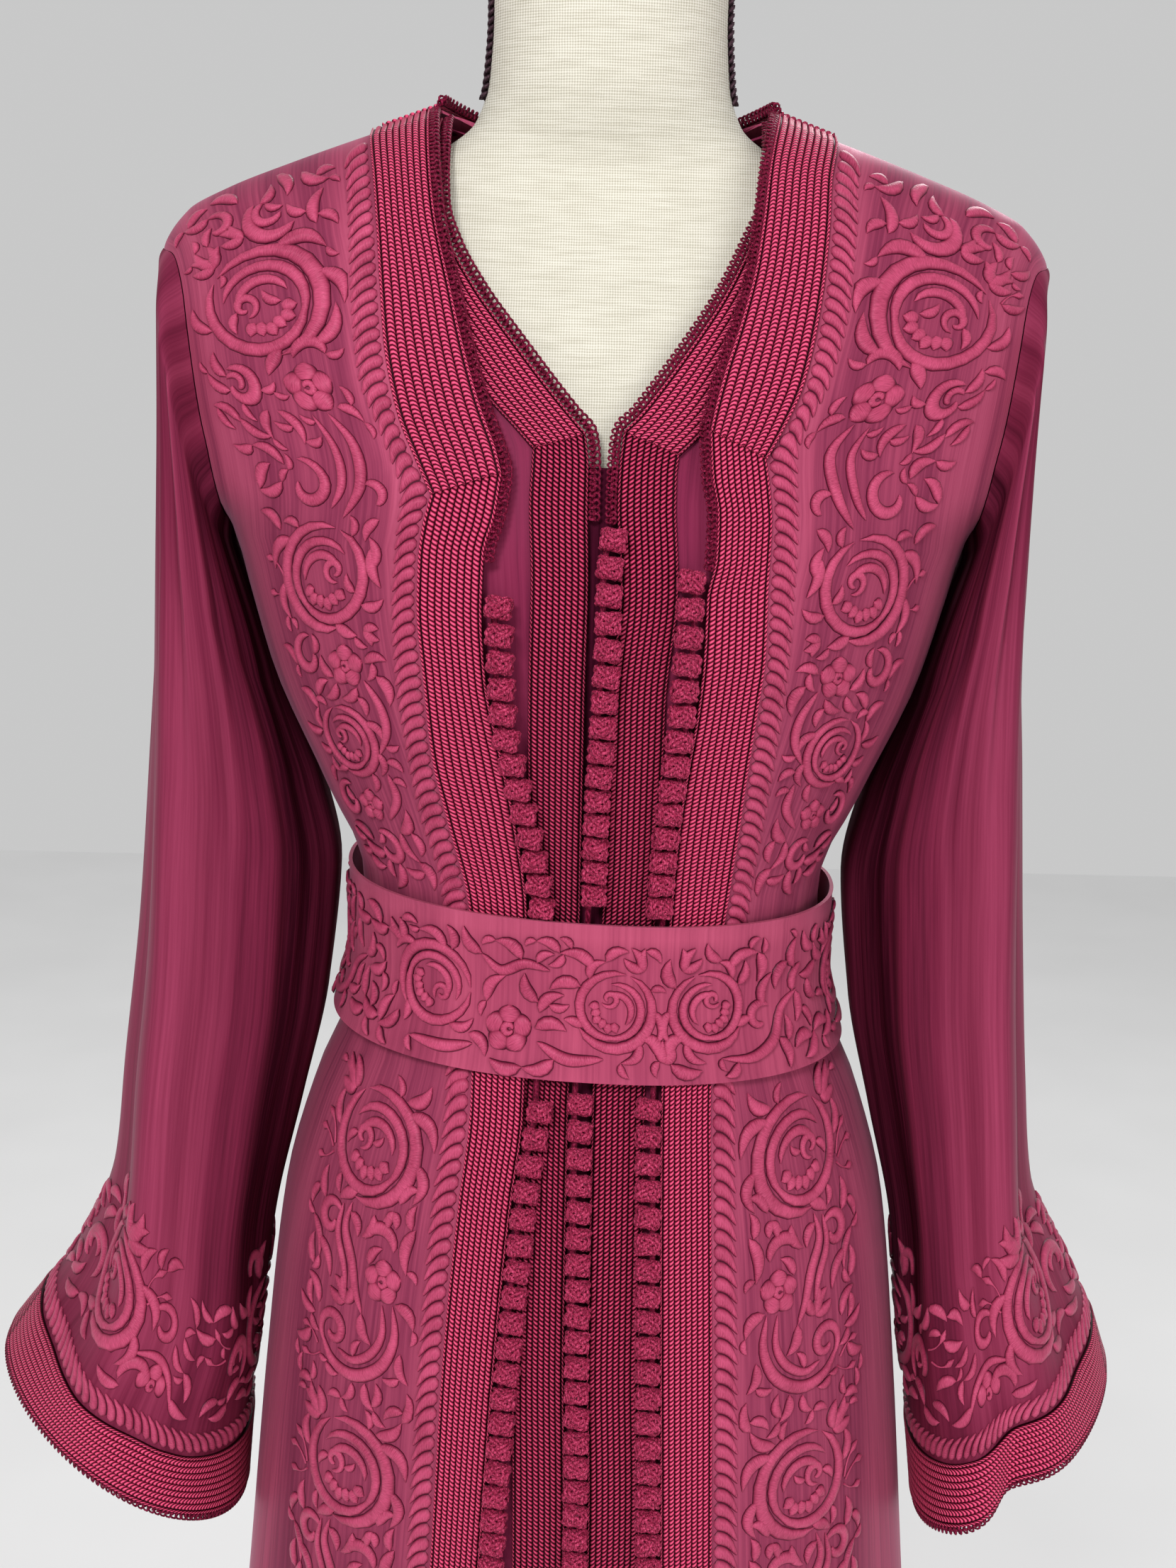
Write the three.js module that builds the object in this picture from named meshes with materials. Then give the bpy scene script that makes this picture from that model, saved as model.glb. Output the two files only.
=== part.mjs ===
// A takchita, the Moroccan two-piece festive dress, worn by a limbless dress form on a round-based stand.
// An open-fronted outer dress with wide sleeves lies over a sleeveless inner dress with a V neck. Both are
// edged with ribbed braid and knotted cord buttons, and an embroidered belt holds them at the waist.
// Millimetres. +Z is up, the front faces -Y, +X is the side of the dress on the viewer's right, and the
// origin is the middle of the whole part's box, on the floor.
import * as THREE from "three";

// Driving dimensions
const NECK_POINT = { x: 78, z: 1482 };
const BACK_NECK_DROP = 18;
const SHOULDER_TIP_Z = 1415;
const UNDERARM_Z = 1285;
const HEM_Z = 24;
const SQUARENESS = 2.25;
const SEAM_HALF_GAP = 0.2;
const OUTER_CLOTH = 1.4;
const INNER_CLOTH = 1.2;
const INNER_DRESS_DEPTH = 6;
const BAND_WIDTH = 29;
const BAND_RIBS = 8;
const BAND_THICKNESS = 1.2;
const RIB_HEIGHT = 0.9;
const LAID_ON = 0.4;
const NECK_BRAID_LIFT = 2.8;
const ROPE_START = 31;
const ROPE_WIDTH = 14;
const ROPE_HEIGHT = 1.4;
const EDGING_WIDTH = 4.6;
const EDGING_THICKNESS = 2.4;
const KNOT_PITCH = 12;
const KNOT_LENGTH = 12;
const KNOT_HALF_HEIGHT = 4.4;
const KNOT_ROW_END_Z = 740;

// Half widths and depths of the worn outer dress at each height: the front, its side seams and the back.
// Above the shoulder tip the half width is the shoulder line itself.
const SECTIONS = [
  { z: 24, half: 250, front: 206, back: 224 },
  { z: 200, half: 232, front: 197, back: 208 },
  { z: 400, half: 212, front: 186, back: 190 },
  { z: 600, half: 192, front: 172, back: 170 },
  { z: 702, half: 181, front: 163, back: 158 },
  { z: 850, half: 168, front: 150, back: 142 },
  { z: 943, half: 157, front: 134, back: 126 },
  { z: 1000, half: 141, front: 119, back: 108 },
  { z: 1035, half: 126, front: 107, back: 92 },
  { z: 1075, half: 116, front: 99, back: 81 },
  { z: 1115, half: 118, front: 101, back: 80 },
  { z: 1160, half: 136, front: 110, back: 86 },
  { z: 1215, half: 160, front: 122, back: 95 },
  { z: 1250, half: 170, front: 127, back: 100 },
  { z: 1285, half: 180, front: 122, back: 102 },
  { z: 1311, half: 199, front: 115, back: 101 },
  { z: 1358, half: 212, front: 98, back: 93 },
  { z: 1390, half: 215, front: 85, back: 82 },
  { z: 1415, half: 212, front: 73, back: 73 },
  { z: 1433, half: 200, front: 64, back: 67 },
  { z: 1444, half: 180, front: 57, back: 63 },
  { z: 1456, half: 150, front: 48, back: 58 },
  { z: 1467, half: 120, front: 38, back: 50 },
  { z: 1474, half: 100, front: 30, back: 38 },
  { z: 1482, half: 78, front: 16, back: 20 },
];

// Rows of the cut pieces from the shoulder down. A row hangs parallel to the shoulder line by its droop,
// and ends at the armhole where it has one, or else at the side seam. outerLeft, outerRight and inner are
// how far from the centre line each dress's front edges stand.
const ROWS = [
  { level: 1482, droop: 1, armhole: 212, outerLeft: 84, outerRight: 80, inner: 79 },
  { level: 1471, droop: 0.92, armhole: 209, outerLeft: 83, outerRight: 78, inner: 79 },
  { level: 1448, droop: 0.74, armhole: 202, outerLeft: 80, outerRight: 74, inner: 77 },
  { level: 1421, droop: 0.54, armhole: 197, outerLeft: 75, outerRight: 69, inner: 70 },
  { level: 1394, droop: 0.36, armhole: 194, outerLeft: 69, outerRight: 63, inner: 51 },
  { level: 1368, droop: 0.2, armhole: 191, outerLeft: 61, outerRight: 56, inner: 30 },
  { level: 1341, droop: 0.08, armhole: 187, outerLeft: 52, outerRight: 47, inner: 6 },
  { level: 1320, droop: 0, armhole: 183, outerLeft: 43, outerRight: 47, inner: 5.5 },
  { level: 1300, droop: 0, armhole: 180, outerLeft: 47, outerRight: 50, inner: 4.5 },
  { level: 1285, droop: 0, outerLeft: 50, outerRight: 49, inner: 2 },
  { level: 1240, droop: 0, outerLeft: 51, outerRight: 47, inner: 1.5 },
  { level: 1180, droop: 0, outerLeft: 41, outerRight: 44, inner: 1.5 },
  { level: 1118, droop: 0, outerLeft: 32, outerRight: 38, inner: 1.5 },
  { level: 1075, droop: 0, outerLeft: 31, outerRight: 36, inner: 1.5 },
  { level: 1032, droop: 0, outerLeft: 32, outerRight: 36, inner: 1.5 },
  { level: 982, droop: 0, outerLeft: 35, outerRight: 37, inner: 1.5 },
  { level: 910, droop: 0, outerLeft: 40, outerRight: 38, inner: 1.5 },
  { level: 780, droop: 0, outerLeft: 48, outerRight: 41, inner: 1.5 },
  { level: 450, droop: 0, outerLeft: 61, outerRight: 49, inner: 1.5 },
  { level: HEM_Z, droop: 0, outerLeft: 72, outerRight: 58, inner: 1.5 },
];

// Soft folds of the skirt, by the angle round from the centre front, growing from the hip to the hem
const FOLD_TOP_Z = 930;
const SKIRT_DRAWN_IN = 5;
const INNER_DRAWN_IN = 12;
const SKIRT_FOLDS = [
  { angle: 46, width: 9, depth: 9 },
  { angle: 72, width: 9, depth: 15 },
  { angle: 112, width: 9, depth: 15 },
  { angle: 136, width: 9, depth: 17 },
  { angle: 160, width: 9, depth: 16 },
  { angle: 184, width: 9, depth: 15 },
  { angle: 208, width: 9, depth: 17 },
  { angle: 233, width: 9, depth: 16 },
  { angle: 255, width: 8, depth: 13 },
  { angle: 290, width: 9, depth: 15 },
  { angle: 317, width: 9, depth: 10 },
];

// Rings of the hanging sleeves: where each ring lies farthest from the body (out) and nearest to it (in),
// and how deep it is in front and behind. lean moves its front towards the body.
const SLEEVE_RIGHT = [
  { outX: 210, outZ: 1398, inX: 187, inZ: 1270, fore: 66, aft: 62, lean: 0 },
  { outX: 209, outZ: 1318, inX: 158, inZ: 1202, fore: 68, aft: 66, lean: -3 },
  { outX: 211, outZ: 1250, inX: 144, inZ: 1158, fore: 67, aft: 66, lean: -5 },
  { outX: 217, outZ: 1170, inX: 132, inZ: 1108, fore: 64, aft: 66, lean: -6 },
  { outX: 223, outZ: 1085, inX: 136, inZ: 1048, fore: 64, aft: 66, lean: -4 },
  { outX: 230, outZ: 1008, inX: 150, inZ: 982, fore: 68, aft: 70, lean: 0 },
  { outX: 238, outZ: 947, inX: 164, inZ: 922, fore: 76, aft: 78, lean: 6 },
  { outX: 263, outZ: 894, inX: 172, inZ: 858, fore: 92, aft: 92, lean: 14 },
  { outX: 276, outZ: 863, inX: 179, inZ: 822, fore: 101, aft: 100, lean: 19 },
  { outX: 286, outZ: 828, inX: 187, inZ: 778, fore: 101, aft: 106, lean: 28 },
];
const SLEEVE_LEFT = [
  { outX: 213, outZ: 1398, inX: 187, inZ: 1270, fore: 66, aft: 62, lean: 0 },
  { outX: 215, outZ: 1318, inX: 158, inZ: 1202, fore: 68, aft: 66, lean: -3 },
  { outX: 219, outZ: 1250, inX: 144, inZ: 1158, fore: 67, aft: 66, lean: -5 },
  { outX: 225, outZ: 1170, inX: 132, inZ: 1108, fore: 64, aft: 66, lean: -6 },
  { outX: 232, outZ: 1085, inX: 136, inZ: 1048, fore: 64, aft: 66, lean: -4 },
  { outX: 242, outZ: 1008, inX: 150, inZ: 982, fore: 68, aft: 70, lean: 0 },
  { outX: 250, outZ: 947, inX: 164, inZ: 922, fore: 76, aft: 78, lean: 6 },
  { outX: 271, outZ: 895, inX: 173, inZ: 860, fore: 92, aft: 92, lean: 15 },
  { outX: 290, outZ: 866, inX: 178, inZ: 824, fore: 101, aft: 100, lean: 15 },
  { outX: 311, outZ: 834, inX: 184, inZ: 768, fore: 95, aft: 108, lean: 22 },
];
const SLEEVE_SEGMENTS = 22;
const SLEEVE_SEAM_GAP = 1.2;
// The sleeves' folds, by the angle round from the outermost line over the front. Positive depths stand out.
const SLEEVE_FOLDS = [
  { angle: 30, width: 13, depth: -6, from: 1, full: 4, until: 8 },
  { angle: 62, width: 12, depth: 5, from: 0, full: 3, until: 8 },
  { angle: 92, width: 12, depth: -8, from: 1, full: 3, until: 8 },
  { angle: 122, width: 12, depth: 5, from: 0, full: 2, until: 7 },
  { angle: 150, width: 11, depth: -6, from: 0, full: 3, until: 7 },
  { angle: 212, width: 12, depth: -6, from: 0, full: 3, until: 7 },
  { angle: 242, width: 12, depth: 5, from: 0, full: 3, until: 8 },
  { angle: 272, width: 12, depth: -8, from: 1, full: 3, until: 8 },
  { angle: 302, width: 12, depth: 5, from: 1, full: 4, until: 9 },
  { angle: 332, width: 12, depth: -6, from: 1, full: 4, until: 8 },
];
// The right cuff is dented in its front
const CUFF_DENT = { angle: 74, width: 17, depth: -17, from: 6, full: 9, until: 99 };

const BELT = { top: 1112, bottom: 1036, tilt: 0.04, clear: 4.2, thickness: 2.6, overlapRise: 3.4 };

// The dress form, its neck, and the stand
const FORM = [
  { z: 822, half: 148, front: 129, back: 124 },
  { z: 850, half: 155, front: 137, back: 130 },
  { z: 930, half: 147, front: 124, back: 116 },
  { z: 985, half: 134, front: 111, back: 100 },
  { z: 1032, half: 115, front: 96, back: 81 },
  { z: 1075, half: 104, front: 87, back: 69 },
  { z: 1118, half: 107, front: 90, back: 68 },
  { z: 1165, half: 126, front: 99, back: 75 },
  { z: 1215, half: 145, front: 109, back: 83 },
  { z: 1250, half: 156, front: 113, back: 87 },
  { z: 1285, half: 160, front: 108, back: 89 },
  { z: 1320, half: 164, front: 98, back: 87 },
  { z: 1358, half: 172, front: 84, back: 81 },
  { z: 1388, half: 184, front: 72, back: 72 },
  { z: 1404, half: 194, front: 62, back: 64 },
  { z: 1421, half: 183, front: 52, back: 56 },
  { z: 1433, half: 160, front: 45, back: 51 },
  { z: 1444, half: 132, front: 40, back: 47 },
  { z: 1455, half: 100, front: 38, back: 39 },
  { z: 1465, half: 76, front: 40, back: 34 },
  { z: 1476, half: 63, front: 45, back: 34 },
  { z: 1494, half: 57, front: 51, back: 38 },
  { z: 1525, half: 55, front: 55, back: 43 },
  { z: 1562, half: 56, front: 58, back: 46 },
];
const FORM_SEGMENTS = 22;
const NECK_CAP = { radius: 50, y: -6, bottom: 1562.3, rim: 1574, knob: 12, knobNeck: 6, top: 1602 };
const POLE = { radius: 14, bottom: 22.3, top: 821.7 };
const BASE = { radius: 165, plate: 7, collar: 24, top: 22 };

// A smooth curve through one column of a table, read at any value of another column
function smooth(table, at, key) {
  const xs = table.map((row) => row[at]);
  const ys = table.map((row) => row[key]);
  const last = xs.length - 1;
  const slope = (i) => (ys[i + 1] - ys[i]) / (xs[i + 1] - xs[i]);
  const tangents = xs.map((_, i) => {
    if (i === 0) return slope(0);
    if (i === last) return slope(last - 1);
    const before = slope(i - 1);
    const after = slope(i);
    return before * after <= 0 ? 0 : (2 * before * after) / (before + after);
  });
  return (value) => {
    const x = Math.min(Math.max(value, xs[0]), xs[last]);
    let i = 0;
    while (i < last - 1 && x > xs[i + 1]) i += 1;
    const width = xs[i + 1] - xs[i];
    const u = (x - xs[i]) / width;
    const start = (2 * u ** 3 - 3 * u ** 2 + 1) * ys[i] + (u ** 3 - 2 * u ** 2 + u) * width * tangents[i];
    const end = (3 * u ** 2 - 2 * u ** 3) * ys[i + 1] + (u ** 3 - u ** 2) * width * tangents[i + 1];
    return start + end;
  };
}

// The same with straight lines from row to row
function straight(table, at, key) {
  return (value) => {
    let i = 0;
    while (i < table.length - 2 && value > table[i + 1][at]) i += 1;
    const share = (value - table[i][at]) / (table[i + 1][at] - table[i][at]);
    return THREE.MathUtils.lerp(table[i][key], table[i + 1][key], THREE.MathUtils.clamp(share, 0, 1));
  };
}

const halfWidth = smooth(SECTIONS, "z", "half");
const frontDepth = smooth(SECTIONS, "z", "front");
const backDepth = smooth(SECTIONS, "z", "back");
const shoulderLine = smooth(SECTIONS.filter((row) => row.z >= SHOULDER_TIP_Z).reverse(), "half", "z");
const degrees = THREE.MathUtils.degToRad;

// Height of the garment's top at a distance from the centre line: the shoulder, or the back neck curve
function topLine(x) {
  const reach = Math.abs(x);
  if (reach >= NECK_POINT.x) return shoulderLine(reach);
  return NECK_POINT.z - BACK_NECK_DROP * (1 - (reach / NECK_POINT.x) ** 2);
}

// 1 on the surface of the worn outer dress, more outside it
function levelOf(x, y, z) {
  const depth = y < 0 ? frontDepth(z) : backDepth(z);
  return (Math.abs(x) / halfWidth(z)) ** SQUARENESS + (Math.abs(y) / depth) ** SQUARENESS;
}

function normalAt(point) {
  const step = 0.05;
  const { x, y, z } = point;
  const normal = new THREE.Vector3(
    levelOf(x + step, y, z) - levelOf(x - step, y, z),
    levelOf(x, y + step, z) - levelOf(x, y - step, z),
    levelOf(x, y, z + step) - levelOf(x, y, z - step),
  );
  return normal.normalize();
}

// How far the outer skirt's folds stand out at an angle round from the centre front
function skirtFold(angle, z) {
  const growth = THREE.MathUtils.clamp((FOLD_TOP_Z - z) / (FOLD_TOP_Z - HEM_Z), 0, 1);
  const turn = (angle + 360) % 360;
  const swell = SKIRT_FOLDS.reduce(
    (sum, fold) => sum + fold.depth * Math.exp(-(((turn - fold.angle) / fold.width) ** 2)),
    0,
  );
  return growth * (swell - SKIRT_DRAWN_IN);
}

// The inner skirt hangs smooth, and draws in from the outer one beyond its own open front
function innerSkirt(angle, z) {
  const growth = THREE.MathUtils.clamp((FOLD_TOP_Z - z) / (FOLD_TOP_Z - HEM_Z), 0, 1);
  return -growth * (SKIRT_DRAWN_IN + INNER_DRAWN_IN * THREE.MathUtils.smoothstep(Math.abs(angle), 16, 40));
}

// A point of the worn dress on one of its rows. side is -1 in front and 1 behind, offset is along the normal
function dressPoint(row, x, side, offset, fold = skirtFold) {
  const z = row.level - row.droop * (NECK_POINT.z - topLine(x));
  const half = halfWidth(z);
  const depth = side < 0 ? frontDepth(z) : backDepth(z);
  const share = Math.min(1, Math.abs(x) / half) ** SQUARENESS;
  const onShoulder = row.droop === 1 && Math.abs(x) >= NECK_POINT.x;
  const y = onShoulder ? 0 : depth * (1 - share) ** (1 / SQUARENESS);
  const point = new THREE.Vector3(x, side * y, z);
  const normal = normalAt(point);
  const round = THREE.MathUtils.radToDeg(Math.asin(Math.sqrt(share)));
  const angle = Math.sign(x || 1) * (side < 0 ? round : 180 - round);
  const level = new THREE.Vector3(normal.x, normal.y, 0).normalize();
  point.addScaledVector(level, fold(angle, z));
  point.addScaledVector(normal, offset);
  point.y = side * Math.max(SEAM_HALF_GAP, side * point.y);
  return point;
}

// The distance from the centre line reached by going a length along a row from x, away from the centre
function stepAlong(row, x, side, length) {
  const stride = 0.5;
  let at = x;
  let gone = 0;
  let before = dressPoint(row, at, side, 0);
  while (gone < length) {
    at += stride * Math.sign(x);
    const here = dressPoint(row, at, side, 0);
    gone += here.distanceTo(before);
    before = here;
  }
  return at - (stride * Math.sign(x) * (gone - length)) / stride;
}

const lengthOf = (row) => row.armhole ?? halfWidth(row.level);

// Rows of points of a front panel: first at the given lengths from its edge, then spread to its far end
function frontColumns(row, edge, lengths, spread) {
  const sign = Math.sign(edge);
  const near = lengths.map((length) => (length === 0 ? edge : stepAlong(row, edge, -1, length)));
  const start = near[near.length - 1];
  const end = sign * lengthOf(row);
  const far = Array.from({ length: spread }, (_, i) => {
    return start + (end - start) * Math.sin(degrees((90 * (i + 1)) / spread));
  });
  return [...near, ...far];
}

// A geometry from triangles of points, turned so that its faces point outwards
function solidFrom(points, triangles) {
  const volume = triangles.reduce((sum, [a, b, c]) => {
    return sum + points[a].dot(new THREE.Vector3().crossVectors(points[b], points[c]));
  }, 0);
  const turned = volume < 0 ? triangles.map(([a, b, c]) => [a, c, b]) : triangles;
  const geometry = new THREE.BufferGeometry().setFromPoints(points);
  geometry.setIndex(turned.flat());
  geometry.computeVertexNormals();
  return geometry;
}

// Triangles that join two lines of point numbers that run side by side
function joinLines(one, other) {
  const triangles = [];
  let i = 0;
  let j = 0;
  while (i < one.length - 1 || j < other.length - 1) {
    const nextOne = (i + 1) / Math.max(1, one.length - 1);
    const nextOther = (j + 1) / Math.max(1, other.length - 1);
    if (j >= other.length - 1 || (i < one.length - 1 && nextOne <= nextOther)) {
      triangles.push([one[i], one[i + 1], other[j]]);
      i += 1;
    } else {
      triangles.push([one[i], other[j + 1], other[j]]);
      j += 1;
    }
  }
  return triangles;
}

// Closes two faces of cloth into a wall. Each face is a list of rows of points, and a looped wall's last
// row joins its first.
function slab(top, bottom, looped = false) {
  const points = [];
  const number = (rows) => rows.map((row) => row.map((point) => points.push(point) - 1));
  const upper = number(top);
  const lower = number(bottom);
  const triangles = [];
  const spans = looped ? upper.length : upper.length - 1;
  const quad = (a, b, c, d) => triangles.push([a, b, c], [a, c, d]);
  for (let r = 0; r < spans; r += 1) {
    const next = (r + 1) % upper.length;
    for (let c = 0; c < upper[r].length - 1; c += 1) {
      quad(upper[r][c], upper[r][c + 1], upper[next][c + 1], upper[next][c]);
    }
    for (let c = 0; c < lower[r].length - 1; c += 1) {
      quad(lower[r][c], lower[next][c], lower[next][c + 1], lower[r][c + 1]);
    }
    quad(upper[next][0], lower[next][0], lower[r][0], upper[r][0]);
    quad(upper[r].at(-1), lower[r].at(-1), lower[next].at(-1), upper[next].at(-1));
  }
  if (!looped) {
    const last = upper.length - 1;
    const first = joinLines(upper[0], lower[0]);
    triangles.push(...first.map(([a, b, c]) => [b, a, c]));
    triangles.push(...joinLines(upper[last], lower[last]));
  }
  return solidFrom(points, triangles);
}

// A solid swept through sections that all have the same number of corners, closed at its ends or looped
function swept(sections, looped = false) {
  const corners = sections[0].length;
  const points = sections.flat();
  const triangles = [];
  const spans = looped ? sections.length : sections.length - 1;
  for (let s = 0; s < spans; s += 1) {
    const here = s * corners;
    const next = ((s + 1) % sections.length) * corners;
    for (let c = 0; c < corners; c += 1) {
      const d = (c + 1) % corners;
      triangles.push([here + c, here + d, next + d], [here + c, next + d, next + c]);
    }
  }
  if (!looped) {
    const last = (sections.length - 1) * corners;
    for (let c = 1; c < corners - 1; c += 1) {
      triangles.push([0, c + 1, c], [last, last + c, last + c + 1]);
    }
  }
  return solidFrom(points, triangles);
}

const garment = new THREE.Group();

function addMesh(name, geometry, finish) {
  const mesh = new THREE.Mesh(geometry, new THREE.MeshStandardMaterial(finish));
  mesh.name = name;
  garment.add(mesh);
}

const OUTER_SATIN = { color: "#94405c", roughness: 0.5, metalness: 0 };
const INNER_SATIN = { color: "#7d3450", roughness: 0.5, metalness: 0 };
const BRAID = { color: "#8a2a48", roughness: 0.6, metalness: 0 };
const LINEN = { color: "#e8e2d2", roughness: 0.9, metalness: 0 };
const WOOD = { color: "#8a6a48", roughness: 0.6, metalness: 0 };
const IRON = { color: "#2a2a2c", roughness: 0.5, metalness: 0.6 };

// Where the panel is raised for the rope-stitched border beside its braid, and by how much
const ROPE_LENGTHS = [ROPE_START, ROPE_START + ROPE_WIDTH / 2, ROPE_START + ROPE_WIDTH];
const OUTER_LENGTHS = [0, BAND_WIDTH / 2, BAND_WIDTH, ...ROPE_LENGTHS];
const ROPE_COLUMN = 4;
const INNER_LENGTHS = [0, BAND_WIDTH / 2, BAND_WIDTH];
const INNER_NECK_STRETCH = 1.22;

// The lengths at which a row's braid starts, folds and ends: slanted stretches cross it at a longer length
function innerLengths(row) {
  const slanted = row.level > 1341 && row.level < 1460;
  return INNER_LENGTHS.map((length) => length * (slanted ? INNER_NECK_STRETCH : 1));
}

const outerEdge = (row, sign) => sign * (sign < 0 ? row.outerLeft : row.outerRight);

// The two fronts of the outer dress
function outerFront(sign) {
  const columns = ROWS.map((row) => frontColumns(row, outerEdge(row, sign), OUTER_LENGTHS, 5));
  const face = (offset, raised) => {
    return ROWS.map((row, r) => columns[r].map((x, c) => {
      return dressPoint(row, x, -1, offset + (c === ROPE_COLUMN ? raised : 0));
    }));
  };
  return slab(face(0, ROPE_HEIGHT), face(-OUTER_CLOTH, 0));
}

// The two fronts of the inner dress, which its V neck and the open outer dress leave in sight
function innerFront(sign) {
  const face = (offset) => {
    return ROWS.map((row) => {
      const xs = frontColumns(row, sign * row.inner, innerLengths(row), 4);
      return xs.map((x) => dressPoint(row, x, -1, offset, innerSkirt));
    });
  };
  return slab(face(-INNER_DRESS_DEPTH), face(-INNER_DRESS_DEPTH - INNER_CLOTH));
}

// A back panel, from armhole to armhole below and over the neck curve between the shoulders
function backPanel(offset, thickness, neckColumns, sideColumns, fold) {
  const face = (depth) => {
    return ROWS.map((row) => {
      const end = lengthOf(row);
      const half = [];
      for (let i = 1; i <= neckColumns; i += 1) {
        half.push(NECK_POINT.x * Math.sin(degrees((90 * i) / neckColumns)));
      }
      for (let i = 1; i <= sideColumns; i += 1) {
        half.push(NECK_POINT.x + (end - NECK_POINT.x) * Math.sin(degrees((90 * i) / sideColumns)));
      }
      const xs = [...half.map((x) => -x).reverse(), 0, ...half];
      return xs.map((x) => dressPoint(row, x, 1, depth, fold));
    });
  };
  return slab(face(offset), face(offset - thickness));
}

// Places across a braid from its edge, and how high its ribs stand there
const RIB_PROFILE = Array.from({ length: 2 * BAND_RIBS + 1 }, (_, i) => {
  return { share: i / (2 * BAND_RIBS), rise: i % 2 ? RIB_HEIGHT : 0 };
});

// A braid laid on a row's points: they are moved out, and the ribs stand on lines between them
function braidRow(base, offset) {
  const count = base.length - 1;
  return RIB_PROFILE.map(({ share, rise }) => {
    const place = share * count;
    const cell = Math.min(count - 1, Math.floor(place));
    const point = base[cell].point.clone().lerp(base[cell + 1].point, place - cell);
    const normal = base[cell].normal.clone().lerp(base[cell + 1].normal, place - cell).normalize();
    return point.addScaledVector(normal, offset + BAND_THICKNESS + rise);
  });
}

function braid(rows, columnsOf, side, depth, fold) {
  const top = [];
  const bottom = [];
  rows.forEach((row) => {
    const base = columnsOf(row).map((x) => {
      return { point: dressPoint(row, x, side, -depth, fold), normal: normalAt(dressPoint(row, x, side, 0)) };
    });
    top.push(braidRow(base, LAID_ON));
    bottom.push(base.map(({ point, normal }) => point.clone().addScaledVector(normal, LAID_ON)));
  });
  for (const row of [...top, ...bottom]) {
    for (const point of row) point.y = side * Math.max(SEAM_HALF_GAP, side * point.y);
  }
  return slab(top, bottom);
}

const BAND_LENGTHS = OUTER_LENGTHS.slice(0, 3);
const outerBraid = (sign) => {
  return braid(ROWS, (row) => frontColumns(row, outerEdge(row, sign), BAND_LENGTHS, 0), -1, 0, skirtFold);
};
const innerBraid = (sign) => {
  const columnsOf = (row) => frontColumns(row, sign * row.inner, innerLengths(row), 0);
  return braid(ROWS, columnsOf, -1, INNER_DRESS_DEPTH, innerSkirt);
};

// The outer braid's way round the back neck: each station is a place across the neck, and the braid runs
// down from the neck edge there
function neckBraid() {
  const stations = [-1, -0.88, -0.7, -0.45, -0.15, 0.15, 0.45, 0.7, 0.88, 1];
  const spread = [0, 0.5, 1];
  const top = [];
  const bottom = [];
  stations.forEach((share) => {
    const base = spread.map((down) => {
      const x = share * (NECK_POINT.x + 3 + down * 26 * Math.abs(share) ** 3);
      const sink = down * BAND_WIDTH * (1 - Math.abs(share) ** 3);
      const row = { level: NECK_POINT.z - sink, droop: Math.abs(share) === 1 ? 1 : 0.999 };
      return { point: dressPoint(row, x, 1, 0), normal: normalAt(dressPoint(row, x, 1, 0)) };
    });
    top.push(braidRow(base, NECK_BRAID_LIFT));
    bottom.push(base.map(({ point, normal }) => point.clone().addScaledVector(normal, NECK_BRAID_LIFT)));
  });
  for (const row of [...top, ...bottom]) {
    for (const point of row) point.y = Math.max(SEAM_HALF_GAP, point.y);
  }
  return slab(top, bottom);
}

// The crocheted edging beyond a front edge, from the neck down to a height
function edging(edgeOf, sign, endLevel, depth) {
  const sections = ROWS.filter((row) => row.level >= endLevel).map((row) => {
    const corner = (reach, rise) => dressPoint(row, edgeOf(row) - sign * reach, -1, rise - depth);
    const tip = corner(EDGING_WIDTH, EDGING_THICKNESS / 2);
    return [corner(LAID_ON, EDGING_THICKNESS), tip, corner(LAID_ON, 0)];
  });
  return swept(sections);
}

// A column of cord knots beside a braid's edge, on one cord. No knots lie under the belt.
function knotRow(edgeOf, sign, firstZ, depth) {
  const levels = [];
  for (let z = firstZ; z > KNOT_ROW_END_Z + KNOT_PITCH; z -= KNOT_PITCH) {
    const nearBelt = z < BELT.top + 14 && z > BELT.bottom - 14;
    const thin = { reach: 3, low: -1.8, high: 1.2 };
    const full = { reach: KNOT_LENGTH, low: -1.8, high: 2 * KNOT_HALF_HEIGHT - 1.8 };
    levels.push({ z: z + 0.47 * KNOT_PITCH, ...thin });
    if (nearBelt) continue;
    levels.push({ z: z + 0.33 * KNOT_PITCH, ...full });
    levels.push({ z: z - 0.33 * KNOT_PITCH, ...full });
  }
  levels.push({ z: KNOT_ROW_END_Z, reach: 3, low: -1.8, high: 1.2 });
  const sections = levels.map(({ z, reach, low, high }) => {
    const row = { level: z, droop: 0 };
    const start = edgeOf(z) - sign * 0.5;
    const end = start - sign * reach;
    const middle = (low + high) / 2 - depth;
    return [
      dressPoint(row, start, -1, low - depth),
      dressPoint(row, start, -1, high - depth),
      dressPoint(row, end, -1, middle + 0.62 * (high - low) / 2),
      dressPoint(row, end, -1, middle - 0.62 * (high - low) / 2),
    ];
  });
  return swept(sections);
}

// How far a sleeve's folds stand out on one of its rings
function sleeveFold(folds, angle, ring) {
  return folds.reduce((sum, fold) => {
    const rising = THREE.MathUtils.smoothstep(ring, fold.from, fold.full);
    const falling = 1 - THREE.MathUtils.smoothstep(ring, fold.until - 1, fold.until + 1);
    return sum + fold.depth * rising * falling * Math.exp(-(((angle - fold.angle) / fold.width) ** 2));
  }, 0);
}

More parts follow.
